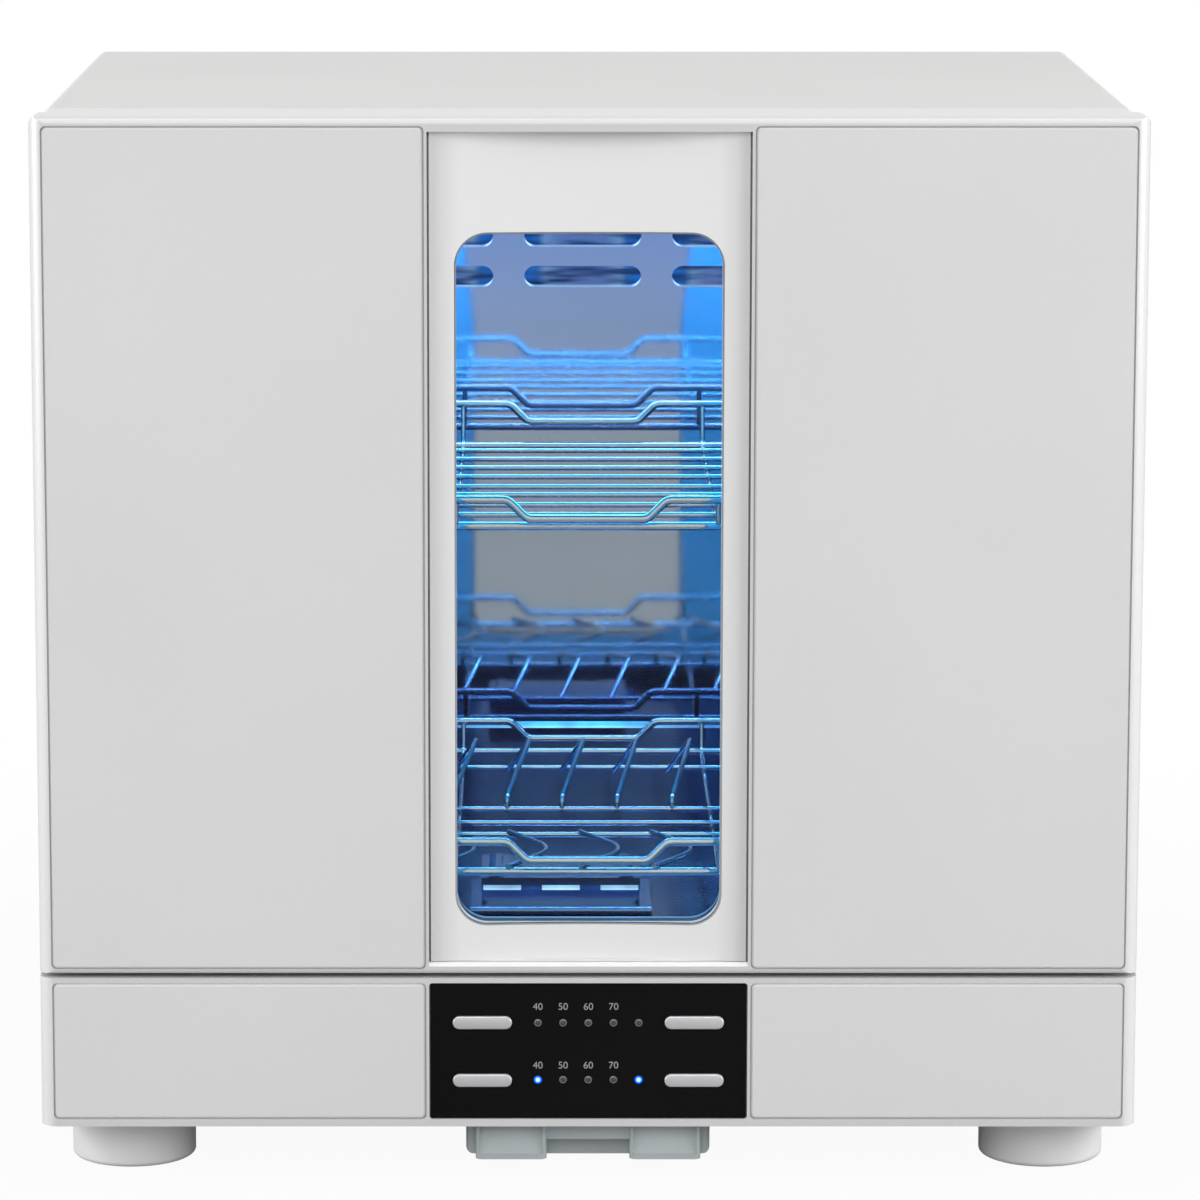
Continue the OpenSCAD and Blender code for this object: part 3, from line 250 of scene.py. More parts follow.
# %% Metal finishes
ROLLED = (40, 1, 1)
brushed = textured("rolled stainless sheet", "#C3C8CD", "#B7BDC3", 0.17, 0.05, 0.5, 0.0012, ROLLED,
                   Metallic=1.0)
# Painted azure light and shade: the floor's steel is coloured deep blue and the outlet cover's steel mid
# blue
floor_steel_painted_azure = textured("rolled stainless of the floor", "#2E527F", "#294A76", 0.16, 0.05, 0.5, 0.0012, ROLLED,
                Metallic=1.0)
cover_steel_painted_azure = textured("pressed stainless cover", "#7F9BBE", "#728EB2", 0.18, 0.05, 0.7, 0.001, Metallic=1.0)
zinc = textured("zinc-coated sheet", "#AEB2B4", "#95999C", 0.38, 0.12, 5.0, 0.01, Metallic=1.0)
screw_zinc = textured("zinc-plated screws", "#B4B8BB", "#9BA0A4", 0.3, 0.08, 0.5, 0.004, Metallic=1.0)
brass = textured("turned brass", "#C9A85A", "#AE8F45", 0.22, 0.05, 0.3, 0.003, (1, 8, 8), Metallic=1.0)
silver_ring, tree, surface = start("bright plated ring with painted shade on its inner wall", Roughness=0.16)
# Painted shade: the ring's inner wall, all but its front face, is coloured a dark blue-grey without metal
# shine
front = add(tree, "ShaderNodeMath", {0: facing(tree)[1], 1: -0.7}, operation="LESS_THAN")
plated_and_painted_shade = stops(add(tree, "ShaderNodeValToRGB", {"Fac": front.outputs[0]}),
               (0.4, "#1E2A36"), (0.6, "#C3C8CB"))
tree.links.new(plated_and_painted_shade.outputs[0], surface.inputs["Base Color"])
tree.links.new(front.outputs[0], surface.inputs["Metallic"])
fine_bump(tree, surface, 1.0, 0.001)
magnet_nickel = textured("nickel-plated magnet", "#83878B", "#6F7377", 0.3, 0.06, 0.6, 0.004,
                         Metallic=1.0)
heater_fins = textured("bare aluminium fins", "#C2C5C8", "#AEB2B6", 0.35, 0.08, 0.5, 0.004, (8, 1, 1),
                       Metallic=1.0)
dress(brushed, "chamber_sides", "chamber_ceiling", "rack_ledges", "drain_spout")
dress(floor_steel_painted_azure, "chamber_floor")
dress(cover_steel_painted_azure, "hot_air_outlet")
dress(zinc, "base_plate", "tray_rails", "heater_duct", "hinge_ears", "strike_plates")
dress(screw_zinc, "housing_screws", "door_screws", "hinge_pin", "fan_shaft")
dress(brass, "hinge_bushes")
dress(silver_ring, "window_trim")
dress(magnet_nickel, "catch_magnets")
dress(heater_fins, "heater_element")

# %% [markdown]
# ## Rubber, boards and inner parts
# Hidden pieces get their real materials too, because they show with the door up or from below. Rubber
# is dull and nearly black, silicone soft and pale, and lacquer on a board deep green with a sharp
# shine. The tray's PP looks a little waxy, and the control panel is acrylic, smooth as a mirror. All
# share the helper above, since they differ only in colour, shine and grain.

# %% Other finishes
rubber = textured("black nitrile rubber", "#2E2F30", "#242526", 0.7, 0.1, 0.8, 0.02, IOR=1.52)
silicone = textured("pale silicone gasket", "#D5D8DA", "#C9CCCE", 0.55, 0.06, 0.9, 0.01, IOR=1.41)
fan_black = textured("heat-proof black PBT", "#26282B", "#1D1F21", 0.5, 0.08, 0.8, 0.01, IOR=1.5)
fan_pale = textured("pale fan nylon", "#DEDFDF", "#D0D2D2", 0.42, 0.06, 0.8, 0.01, IOR=1.53)
motor_enamel = textured("grey motor enamel", "#6E7377", "#5F6468", 0.4, 0.08, 1.2, 0.01, Metallic=0.4)
ballast_enamel = textured("white ballast enamel", "#E6E6E2", "#DAD9D4", 0.35, 0.06, 1.2, 0.01, IOR=1.5)
board_lacquer = textured("green solder lacquer", "#2B6A45", "#1F5637", 0.3, 0.06, 1.5, 0.02, IOR=1.5)
tray_plastic = textured("grey-green PP of the tray", "#A6ADAE", "#9DA5A6", 0.33, 0.05, 1.0, 0.006,
                        IOR=1.49, Coat_Weight=0.1)
black_gloss = textured("glossy black acrylic", "#0E0E0F", "#0B0B0C", 0.09, 0.03, 2.0, 0.0008,
                       IOR=1.49, Specular_IOR_Level=0.09)
dress(rubber, "cord_gland", "foot_pads")
dress(silicone, "door_gasket")
dress(fan_black, "fan_housing")
dress(fan_pale, "fan_wheel")
dress(motor_enamel, "fan_motor")
dress(ballast_enamel, "lamp_ballast")
dress(board_lacquer, "control_board", "power_supply")
dress(tray_plastic, "drip_tray")
dress(black_gloss, "control_fascia")

# %% [markdown]
# ## Glass
# The window is tempered float glass, 4 mm thick, with the faint green of its edge. It is flat, so it has
# no bump. Its index is set below glass's 1.52, so that the pane mirrors as little as in the photograph.
# Its tint drifts a little over some 170 mm.

# %% Window glass
float_glass, tree, surface = start("tempered float glass", Roughness=0.0, IOR=1.2,
                                   Transmission_Weight=1.0)
place = add(tree, "ShaderNodeTexCoord")
tint = add(tree, "ShaderNodeTexNoise", {"Vector": place.outputs["Object"], "Scale": 0.006 / MM})
tinted = stops(add(tree, "ShaderNodeValToRGB", {"Fac": tint.outputs[0]}),
               (0.3, "#EFF6F5"), (0.7, "#F4F9F8"))
tree.links.new(tinted.outputs[0], surface.inputs["Base Color"])
dress(float_glass, "window_glass")

# %% [markdown]
# ## The lamp
# A low-pressure mercury tube: clear quartz with an azure discharge inside, and metal caps at both
# ends. The caps could be pieces of their own. One solid carries both here, so the material looks at
# how far along the tube a point lies.

# %% Lamp tube and caps
CAP_START = 0.138
lamp_glow, tree, surface = start("quartz lamp tube with metal caps", Roughness=0.2, IOR=1.46)
place = add(tree, "ShaderNodeTexCoord")
parts = add(tree, "ShaderNodeSeparateXYZ", {0: place.outputs["Object"]})
reach = add(tree, "ShaderNodeMath", {0: parts.outputs[0]}, operation="ABSOLUTE")
is_cap = add(tree, "ShaderNodeMath", {0: reach.outputs[0], 1: CAP_START}, operation="GREATER_THAN")
hue = stops(add(tree, "ShaderNodeValToRGB", {"Fac": is_cap.outputs[0]}),
            (0.4, "#8FD0FF"), (0.6, "#C8CBCE"))
glow = add(tree, "ShaderNodeMapRange", {"Value": is_cap.outputs[0], "To Min": 0.8, "To Max": 0.0})
tree.links.new(hue.outputs[0], surface.inputs["Base Color"])
tree.links.new(is_cap.outputs[0], surface.inputs["Metallic"])
surface.inputs["Emission Color"].default_value = linear("#3FA9FF")
tree.links.new(glow.outputs[0], surface.inputs["Emission Strength"])
dress(lamp_glow, "uv_lamp")

# %% [markdown]
# ## The lamp guard
# The guard is a polished sheet with long slots. Two things set its look. Its face is slightly dished,
# so the window's image in it stays upright and spreads towards the top. And the lips of its slots are
# so near the tube that they shine, and that light is painted on as a glow. The material tells face
# from lips by the way each surface points, and the face's colour carries painted shade and azure light.
# What shows through the slots is the inner side of the rear sheet, with the lamp's light from both ends
# painted on it.

# %% Guard and reflector
FACE_TURN = math.atan2(20, 111.5)
HINGE = 0.345
SLOT_PITCH = 75.8
SPREAD = -0.122
guard_steel, tree, surface = start("polished lamp guard", Metallic=1.0, Roughness=0.05)
place = add(tree, "ShaderNodeTexCoord")
parts = add(tree, "ShaderNodeSeparateXYZ", {0: place.outputs["Object"]})
shape = add(tree, "ShaderNodeNewGeometry")
along = add(tree, "ShaderNodeVectorMath", {0: shape.outputs["True Normal"],
                                           1: (0, -math.cos(FACE_TURN), -math.sin(FACE_TURN))},
            operation="DOT_PRODUCT")
on_face = add(tree, "ShaderNodeMath", {0: along.outputs["Value"], 1: 0.98}, operation="GREATER_THAN")
height = add(tree, "ShaderNodeMapRange", {"Value": parts.outputs[2], "From Min": HINGE,
                                          "From Max": HINGE + 0.04, "To Min": 0.0, "To Max": SPREAD})
dish = add(tree, "ShaderNodeMath", {0: parts.outputs[0], 1: height.outputs[0]}, operation="MULTIPLY")
bent = add(tree, "ShaderNodeCombineXYZ", {0: dish.outputs[0], 1: -1.0})
bent = add(tree, "ShaderNodeVectorMath", {0: bent.outputs[0]}, operation="NORMALIZE")
chosen = add(tree, "ShaderNodeMix", data_type="VECTOR")
tree.links.new(on_face.outputs[0], chosen.inputs[0])
tree.links.new(shape.outputs["Normal"], chosen.inputs[4])
tree.links.new(bent.outputs[0], chosen.inputs[5])
tree.links.new(chosen.outputs[1], surface.inputs["Normal"])
# Painted shade and azure light: the face is coloured darker and bluer towards its foot and paler blue
# towards its top
painted_shade_height = add(tree, "ShaderNodeMapRange", {"Value": parts.outputs[2], "From Min": 0.10, "From Max": 0.45})
tone = stops(add(tree, "ShaderNodeValToRGB", {"Fac": painted_shade_height.outputs[0]}),
             (0.0, "#54729E"), (0.14, "#6D86B4"), (0.26, "#BFC4D2"), (0.7, "#C1C8DA"), (1.0, "#D2DCFF"))
tree.links.new(tone.outputs[0], surface.inputs["Base Color"])
# The polishing wheel leaves faint waves some 3 mm wide
polish = add(tree, "ShaderNodeTexNoise", {"Vector": place.outputs["Object"], "Scale": 0.3 / MM,
                                          "Detail": 2.0})
sheen = add(tree, "ShaderNodeMapRange", {"Value": polish.outputs[0], "From Min": 0.3, "From Max": 0.7,
                                         "To Min": 0.035, "To Max": 0.06})
tree.links.new(sheen.outputs[0], surface.inputs["Roughness"])
# Painted light: the lips of the slots glow pale azure, brightest at their corners, and the face glows
# faintly blue towards its top
upward = add(tree, "ShaderNodeSeparateXYZ", {0: shape.outputs["True Normal"]})
lip = add(tree, "ShaderNodeMapRange", {"Value": upward.outputs[2], "From Min": 0.1, "From Max": 0.6,
                                       "To Min": 0.0, "To Max": 0.5})
painted_glow_hue = stops(add(tree, "ShaderNodeValToRGB", {"Fac": on_face.outputs[0]}),
             (0.0, "#B4DCFF"), (1.0, "#2C62B4"))
tree.links.new(painted_glow_hue.outputs[0], surface.inputs["Emission Color"])
near = add(tree, "ShaderNodeMapRange", {"Value": parts.outputs[2], "From Min": 0.28, "From Max": 0.43})
painted_face_glow = add(tree, "ShaderNodeMath", {0: near.outputs[0], 1: on_face.outputs[0]}, operation="MULTIPLY")
sideways = add(tree, "ShaderNodeMath", {0: upward.outputs[0]}, operation="ABSOLUTE")
corner = add(tree, "ShaderNodeMapRange", {"Value": sideways.outputs[0], "From Min": 0.15, "From Max": 0.5,
                                          "To Min": 1.0, "To Max": 2.6})
lip = add(tree, "ShaderNodeMath", {0: lip.outputs[0], 1: corner.outputs[0]}, operation="MULTIPLY")
glow = add(tree, "ShaderNodeMath", {0: lip.outputs[0], 1: painted_face_glow.outputs[0]}, operation="MAXIMUM")
tree.links.new(glow.outputs[0], surface.inputs["Emission Strength"])
dress(guard_steel, "lamp_guard", "back_reflector")
# Painted azure light: the dull steel behind the lamp is coloured blue
reflector_painted_azure = textured("dull steel behind the lamp", "#7C90C0", "#5D73A8", 0.12, 0.04, 2.0, 0.002,
                           Metallic=1.0)
dress(reflector_painted_azure, "lamp_reflector")

# The rear sheet is powder coated outside. Within, behind the guard's slots, its dark blue colour is
# painted shade and its glow is painted lamp light, azure towards both ends of each slot
rear_sheet, tree, surface = start("rear sheet, painted outside and bare within", Roughness=0.4, IOR=1.5)
inside = add(tree, "ShaderNodeMath", {0: facing(tree)[1], 1: -0.9}, operation="LESS_THAN")
place = add(tree, "ShaderNodeTexCoord")
parts = add(tree, "ShaderNodeSeparateXYZ", {0: place.outputs["Object"]})
across = parts.outputs[0]
for step, value in (("ADD", 4.5 * SLOT_PITCH), ("MODULO", SLOT_PITCH), ("SUBTRACT", SLOT_PITCH / 2),
                    ("ABSOLUTE", 0)):
    across = add(tree, "ShaderNodeMath", {0: across, 1: value * MM}, operation=step).outputs[0]
along = add(tree, "ShaderNodeMapRange", {"Value": across, "From Min": 0.012, "From Max": 0.030})
painted_lamp_hue = stops(add(tree, "ShaderNodeValToRGB", {"Fac": along.outputs[0]}),
                 (0.0, "#7890C8"), (0.4, "#94BCE8"), (0.62, "#1F78CC"), (1.0, "#0080FF"))
# Painted light in waves: thin sheet is never quite flat, so the painted glow comes and goes in patches
# some 24 mm wide and 3.4 mm high
squeezed = add(tree, "ShaderNodeMapping", {"Vector": place.outputs["Object"], "Scale": (1, 1, 7)})
glow_ripple = add(tree, "ShaderNodeTexNoise", {"Vector": squeezed.outputs[0], "Scale": 0.042 / MM,
                                          "Detail": 1.0})
painted_glow_wave = add(tree, "ShaderNodeMapRange", {"Value": glow_ripple.outputs[0], "From Min": 0.36, "From Max": 0.6,
                                        "To Min": 0.02, "To Max": 0.45})
lit = add(tree, "ShaderNodeMath", {0: painted_glow_wave.outputs[0], 1: inside.outputs[0]}, operation="MULTIPLY")
powder_and_painted_shade = stops(add(tree, "ShaderNodeValToRGB", {"Fac": inside.outputs[0]}),
               (0.4, "#CFCFCE"), (0.6, "#46648F"))
tree.links.new(powder_and_painted_shade.outputs[0], surface.inputs["Base Color"])
tree.links.new(painted_lamp_hue.outputs[0], surface.inputs["Emission Color"])
tree.links.new(lit.outputs[0], surface.inputs["Emission Strength"])
fine_bump(tree, surface, 0.7, 0.02)
dress(rear_sheet, "back_panel")

# %% [markdown]
# ## Wire racks
# Each rack is steel wire, bent cold, spot welded and chrome plated. A curve with a round section is
# the natural tool: it keeps the wire's thickness through every bend. The route of each wire is given
# by its corners, and every corner is rounded to the radius of the bending tool.

# %% Route helpers
def rounded(corners, radius, closed=False, steps=7):
    """Points along a route whose corners are rounded to a radius."""
    corners = [Vector(c) for c in corners]
    count = len(corners)
    points = [] if closed else [corners[0]]
    for i in range(0 if closed else 1, count if closed else count - 1):
        here = corners[i]
        u = (corners[i - 1] - here).normalized()
        v = (corners[(i + 1) % count] - here).normalized()
        half = u.angle(v) / 2
        middle = (u + v).normalized()
        centre = here + middle * radius / math.sin(half)
        sideways = (v - u).normalized()
        spread = math.pi / 2 - half
        for k in range(steps + 1):
            turn = -spread + 2 * spread * k / steps
            points.append(centre - middle * radius * math.cos(turn) + sideways * radius * math.sin(turn))
    return points if closed else points + [corners[-1]]


def wires(name, runs, thickness, finish, body, sides=10):
    """One object of round wires. Each run is its points and whether it closes on itself."""
    data = bpy.data.curves.new(name, "CURVE")
    data.dimensions = "3D"
    data.bevel_depth = thickness / 2 * MM
    data.bevel_resolution = (sides - 4) // 2 + 1
    data.use_fill_caps = True
    for points, closed in runs:
        line = data.splines.new("POLY")
        line.points.add(len(points) - 1)
        for spot, p in zip(line.points, points):
            spot.co = (p[0] * MM, p[1] * MM, p[2] * MM, 1)
        line.use_cyclic_u = closed
        line.use_smooth = True
    made = bpy.data.objects.new(name, data)
    bpy.context.scene.collection.objects.link(made)
    data.materials.append(finish)
    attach(made, body)
    return made


chrome = textured("bright chrome plate", "#C9CFD3", "#BEC5CA", 0.07, 0.02, 1.5, 0.0002, Metallic=1.0)

# %% [markdown]
# ## Rims, keels and ribs
# Both racks share one plan: a heavy rim that dips in the middle for the hands, a heavy loop round the
# floor, four keels from front to back and ribs across, all bent up to the rim.

# %% Rack parts
RACK_X, DIP_TOP, DIP_LOW, DIP = 211, 37, 28, 9
RIM_WIRE, FLOOR_WIRE = 4.0, 2.6


def rim_route(front, back, z_front, z_back):
    half = [(-RACK_X, 0), (-DIP_TOP, 0), (-DIP_LOW, -DIP), (DIP_LOW, -DIP), (DIP_TOP, 0), (RACK_X, 0)]
    corners = [(x, front, z_front + d) for x, d in half] + [(-x, back, z_back + d) for x, d in half]
    return rounded(corners, 6, closed=True), True


def floor_route(front, back, floor):
    x = RACK_X - 3
    y0, y1 = front + 4, back - 4
    corners = [(-x, y0, floor), (x, y0, floor), (x, y1, floor), (-x, y1, floor)]
    return rounded(corners, 10, closed=True), True


def keel_route(x, front, back, floor, z_front, z_back, drop=0.9):
    low = floor - drop
    corners = [(x, front, z_front), (x, front + 3, low), (x, back - 3, low), (x, back, z_back)]
    return rounded(corners, 6), False


def rib_route(y, floor, z, lift=1.2):
    low = floor + lift
    corners = [(-RACK_X, y, z), (3 - RACK_X, y, low), (RACK_X - 3, y, low), (RACK_X, y, z)]
    return rounded(corners, 6), False


KEELS = (-160, -61, 61, 160)


# %% [markdown]
# ## Upper rack
# A flat shelf for bowls and lids. Its ribs could be an array of one wire, but they aren't evenly
# spaced and their ends climb with the rim, so each has its own place in a list.

# %% Bend the upper rack
front, back, floor, z_front, z_back = -112, 151, 288, 301, 309
heavy = [rim_route(front, back, z_front, z_back), floor_route(front, back, floor)]
light = [keel_route(x, front, back, floor, z_front, z_back) for x in KEELS]
for y in (-82.2, -52.4, -21.8, 3.2, 34.8, 64.2, 93, 122.2):
    light.append(rib_route(y, floor, z_front + (z_back - z_front) * (y - front) / (back - front)))
wires("upper_rack_rim", heavy, RIM_WIRE, chrome, "upper_rack", 14)
upper_wires = wires("upper_rack_wires", light, FLOOR_WIRE, chrome, "upper_rack")
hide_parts("upper_rack")
print("upper rack", len(heavy) + len(light), "wires")

# %% [markdown]
# ## Lower rack
# It adds a row of hoops that lean to hold plates on edge, and in front of them bowed wires that keep
# cups from sliding. Each kind repeats at a pitch of its own, so a loop bends it.

# %% Lower rack with hoops
PLATE_PITCH, CUP_PITCH = 26.8, 34
front, back, floor, rim = -145, 141, 131, 146
heavy = [rim_route(front, back, rim, rim), floor_route(front, back, floor)]
light = [keel_route(x, front, back, floor, rim, rim, 1.4) for x in KEELS]
light += [rib_route(y, floor, rim, 1.3) for y in (-67, -41, -9, 90)]
for i in range(-6, 9):
    x = -38 + i * PLATE_PITCH
    hoop = [(x, -9, floor), (x, -9, floor + 7), (x + 11, 69, floor + 20), (x, 90, floor)]
    light.append((rounded(hoop, 3), False))
for i in range(-5, 6):
    x = -3 + i * CUP_PITCH
    z = floor + 2.9
    light.append((rounded([(x, -68, z), (x + 22, -106, z), (x, -143, z)], 26), False))
wires("lower_rack_rim", heavy, RIM_WIRE, chrome, "lower_rack", 14)
lower_wires = wires("lower_rack_wires", light, FLOOR_WIRE, chrome, "lower_rack")
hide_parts("lower_rack", "lower_grid", "plate_hoops", "cup_hoops")
print("lower rack", len(heavy) + len(light), "wires")

# %% [markdown]
# ## Small folded strips
# Three strips in the chamber catch the lamp, and the light on them is painted: the louvres of the hot air
# outlet, a fold along the back sheet over the floor, and the hem that bridges the guard and the back
# sheet. A fourth is the sill that closes the gap under the door's column. A plane could be bent by hand
# for each. All four have one profile along their whole length, so a single helper draws them.

# %% Louvres, fold, hem and sill
def strip(name, spans, profile, finish, body="cabinet"):
    """A thin bent strip: a profile of y and z, in millimetres, drawn along each span of x."""
    mesh = bmesh.new()
    for x0, x1 in spans:
        rows = [[mesh.verts.new((x * MM, y * MM, z * MM)) for y, z in profile] for x in (x0, x1)]
        for k in range(len(profile) - 1):
            mesh.faces.new((rows[0][k], rows[1][k], rows[1][k + 1], rows[0][k + 1]))
    data = bpy.data.meshes.new(name)
    mesh.to_mesh(data)
    mesh.free()
    data.materials.append(finish)
    made = bpy.data.objects.new(name, data)
    bpy.context.scene.collection.objects.link(made)
    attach(made, body)
    return made


def steel_with_painted_highlight(name, colour, centre_mm, reach_mm, strength):
    """Polished steel, tinted pale blue, with a painted highlight that glows most near one x, where it
    would throw the lamp's light at the viewer. The glow is a little uneven, in patches some 17 mm wide."""
    made, tree, surface = start(name, Metallic=1.0, Roughness=0.2)
    place = add(tree, "ShaderNodeTexCoord")
    parts = add(tree, "ShaderNodeSeparateXYZ", {0: place.outputs["Object"]})
    glow_ripple = add(tree, "ShaderNodeTexNoise", {"Vector": place.outputs["Object"], "Scale": 0.06 / MM})
    away = add(tree, "ShaderNodeMath", {0: parts.outputs[0], 1: centre_mm * MM}, operation="SUBTRACT")
    away = add(tree, "ShaderNodeMath", {0: away.outputs[0]}, operation="ABSOLUTE")
    fade = add(tree, "ShaderNodeMapRange", {"Value": away.outputs[0], "From Min": 0.0,
                                            "From Max": reach_mm * MM, "To Min": strength, "To Max": 0.0})
    power = add(tree, "ShaderNodeMath", {0: fade.outputs[0], 1: glow_ripple.outputs[0]}, operation="MULTIPLY")
    surface.inputs["Base Color"].default_value = linear("#9FB6D0")
    surface.inputs["Emission Color"].default_value = linear(colour)
    tree.links.new(power.outputs[0], surface.inputs["Emission Strength"])
    return made


louvre_painted_highlight = steel_with_painted_highlight("louvres under the lamp", "#A6DCFF", -12, 400, 1.5)
fold_painted_highlight = steel_with_painted_highlight("fold of the back sheet", "#3FC0FF", -4, 62, 2.6)
strip("outlet_louvres", [(x - 9, x + 9) for x in (-40, -12, 16)],
      [(-68.2, 105.4), (-67.4, 106.4), (-66.2, 107.8)], louvre_painted_highlight)
strip("back_fold", [(-200, 200)], [(179.4, 134.8), (179.8, 136.0), (180.9, 138.0)], fold_painted_highlight)
strip("column_sill", [(-66, 66)], [(-196.8, 101.7), (-189.0, 101.75)], column_abs, "door")
strip("guard_hem", [(-223, 223)], [(180.72, 344.4), (180.72, 345.9)], guard_steel)
print("4 folded strips")

# %% [markdown]
# ## Push buttons
# Each button is a stadium-shaped cap of ABS, sprayed satin silver, with a bevelled edge that catches
# the light. The shape starts from two half circles, extruded and bevelled.

# %% Buttons
silver_paint = textured("satin silver paint", "#C2C2C4", "#BABABC", 0.34, 0.05, 0.5, 0.004,
                        Metallic=0.35, IOR=1.5)


def stadium(mesh, length, height, x, z, y, steps=14):
    """A flat stadium facing the front, as one face."""
    radius = height / 2
    ring = []
    for side in (1, -1):
        for k in range(steps + 1):
            turn = math.radians(180 * k / steps - side * 90)
            ring.append(mesh.verts.new(((x + side * (length / 2 - radius) + radius * math.cos(turn)) * MM,
                                        y * MM, (z + radius * math.sin(turn)) * MM)))
    return mesh.faces.new(ring)


def piece(name, mesh, finish, body, smooth_degrees=35):
    """Turns a bmesh to an object that rides on a body, smooth but for its sharp edges."""
    bmesh.ops.recalc_face_normals(mesh, faces=mesh.faces)
    data = bpy.data.meshes.new(name)
    mesh.to_mesh(data)
    mesh.free()
    for face in data.polygons:
        face.use_smooth = True
    data.set_sharp_from_angle(angle=math.radians(smooth_degrees))
    data.materials.append(finish)
    made = bpy.data.objects.new(name, data)
    bpy.context.scene.collection.objects.link(made)
    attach(made, body)
    return made


BUTTONS = {"hot_air": (-48.3, 73.5), "uv": (-48.3, 46.4), "auto": (48.3, 73.5), "cancel": (48.3, 46.4)}
for name, (x, z) in BUTTONS.items():
    mesh = bmesh.new()
    face = stadium(mesh, 27, 6, x, z, -199.97)
    shell = bmesh.ops.extrude_face_region(mesh, geom=[face])
    moved = [v for v in shell["geom"] if isinstance(v, bmesh.types.BMVert)]
    bmesh.ops.translate(mesh, verts=moved, vec=(0, 5 * MM, 0))
    rim_edges = list(face.edges)
    bmesh.ops.bevel(mesh, geom=rim_edges, offset=0.6 * MM, offset_type="OFFSET", affect="EDGES",
                    segments=2, profile=0.5, material=-1)
    made = piece("button_cap_" + name, mesh, silver_paint, name + "_button", 50)
    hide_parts("button_" + name)
print(len(BUTTONS), "button caps")

# %% [markdown]
# ## Indicator lamps
# Ten light-emitting diodes sit behind the black panel, each in a moulded dome 4 mm across. Two are
# lit. The dome is a low part of a sphere, made by spinning a quarter of its outline.

# %% Lamp domes
clear_dark, tree, surface = start("unlit smoked lens", Roughness=0.12, IOR=1.49, Coat_Weight=0.5)
# Painted reflection and highlight: the steep rim of each dome is a light grey ring and its very centre a
# lighter dot, round a dark middle
painted_rim_and_highlight = stops(add(tree, "ShaderNodeValToRGB", {"Fac": squareness(tree)}),
              (0.90, "#8E8E8F"), (0.955, "#6A6A6B"), (0.975, "#202021"), (1.0, "#3A3A3C"))
tree.links.new(painted_rim_and_highlight.outputs[0], surface.inputs["Base Color"])

lit_blue, tree, surface = start("lit blue lens", Roughness=0.2, IOR=1.49)
light_hue = stops(add(tree, "ShaderNodeValToRGB", {"Fac": squareness(tree)}),
                  (0.90, "#0A4FE0"), (0.965, "#1E7BFF"), (0.985, "#4DB0FF"), (0.995, "#CFEFFF"))
tree.links.new(light_hue.outputs[0], surface.inputs["Base Color"])
tree.links.new(light_hue.outputs[0], surface.inputs["Emission Color"])
surface.inputs["Emission Strength"].default_value = 1.1
LENS_R, LENS_PITCH = 1.9, 11.5
LENSES = [(i * LENS_PITCH, z) for z in (46.6, 73.3) for i in range(-2, 3)]
LIT = {(-2 * LENS_PITCH, 46.6), (2 * LENS_PITCH, 46.6)}


def dome(mesh, x, z):
    """A low dome facing the front, spun about its own axis."""
    centre = Vector((x, -198.3, z)) * MM
    outline = [mesh.verts.new(centre + Vector((LENS_R * math.sin(a), -0.6 * math.cos(a), 0)) * MM)
               for a in (0, 0.3, 0.6, 0.9, 1.2, math.pi / 2)]
    outline.append(mesh.verts.new(centre + Vector((LENS_R, 2.0, 0)) * MM))
    edges = [mesh.edges.new(pair) for pair in zip(outline, outline[1:])]
    bmesh.ops.spin(mesh, geom=outline + edges, cent=centre, axis=(0, 1, 0), angle=math.tau, steps=20,
                   use_merge=True, use_duplicate=False)


for label, finish, wanted in (("lamp_domes_dark", clear_dark, False), ("lamp_domes_lit", lit_blue, True)):
    mesh = bmesh.new()
    for spot in LENSES:
        if (spot in LIT) == wanted:
            dome(mesh, *spot)
    bmesh.ops.remove_doubles(mesh, verts=mesh.verts, dist=0.02 * MM)
    made = piece(label, mesh, finish, "cabinet")
    if not wanted:
        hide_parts("lamp_lenses")
print(len(LENSES), "lamps,", len(LIT), "lit")

# %% [markdown]
# ## Numbers on the panel
# Plain temperatures are printed over the first four lamps of each row. They are text turned to a
# mesh, 0.06 mm thick, half sunk in the panel, as a thick coat of silk-screen ink would be.

# %% Printed numbers
UPRIGHT = Matrix.Rotation(math.radians(90), 4, "X")
ink = textured("grey silk-screen ink", "#9C9C9C", "#8C8C8C", 0.5, 0.05, 0.4, 0.002, IOR=1.5)
NUMBER_HEIGHTS = (53.4, 80.9)
for row, z in enumerate(NUMBER_HEIGHTS):
    for column, number in enumerate(("40", "50", "60", "70")):
        words = bpy.data.curves.new("number", "FONT")
        words.body = number
        words.size = 4.6 * MM
        words.extrude = 0.03 * MM
        words.align_x = "CENTER"
        words.align_y = "CENTER"
        temporary = bpy.data.objects.new("number", words)
        bpy.context.scene.collection.objects.link(temporary)
        bpy.context.view_layer.update()
        ready = temporary.evaluated_get(bpy.context.evaluated_depsgraph_get())
        flat = bpy.data.meshes.new_from_object(ready)
        bpy.data.objects.remove(temporary)
        x = (column - 2) * LENS_PITCH
        flat.transform(Matrix.Translation(Vector((x, -199.03, z)) * MM) @ UPRIGHT)
        flat.materials.clear()
        flat.materials.append(ink)
        made = bpy.data.objects.new(f"number_{row}_{number}", flat)
        bpy.context.scene.collection.objects.link(made)
        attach(made, "cabinet")
print("numbers printed at heights", NUMBER_HEIGHTS, "mm")

# %% [markdown]
# ## Studio
# A pale floor and a white surround. What the camera, the mirrors and the glass see of the world is
# plain white, while the light that it gives is softer, so that white plastic does not burn out. Two
# azure lamps stand for the tube's glow, and two narrow lamps are seen only in reflections.

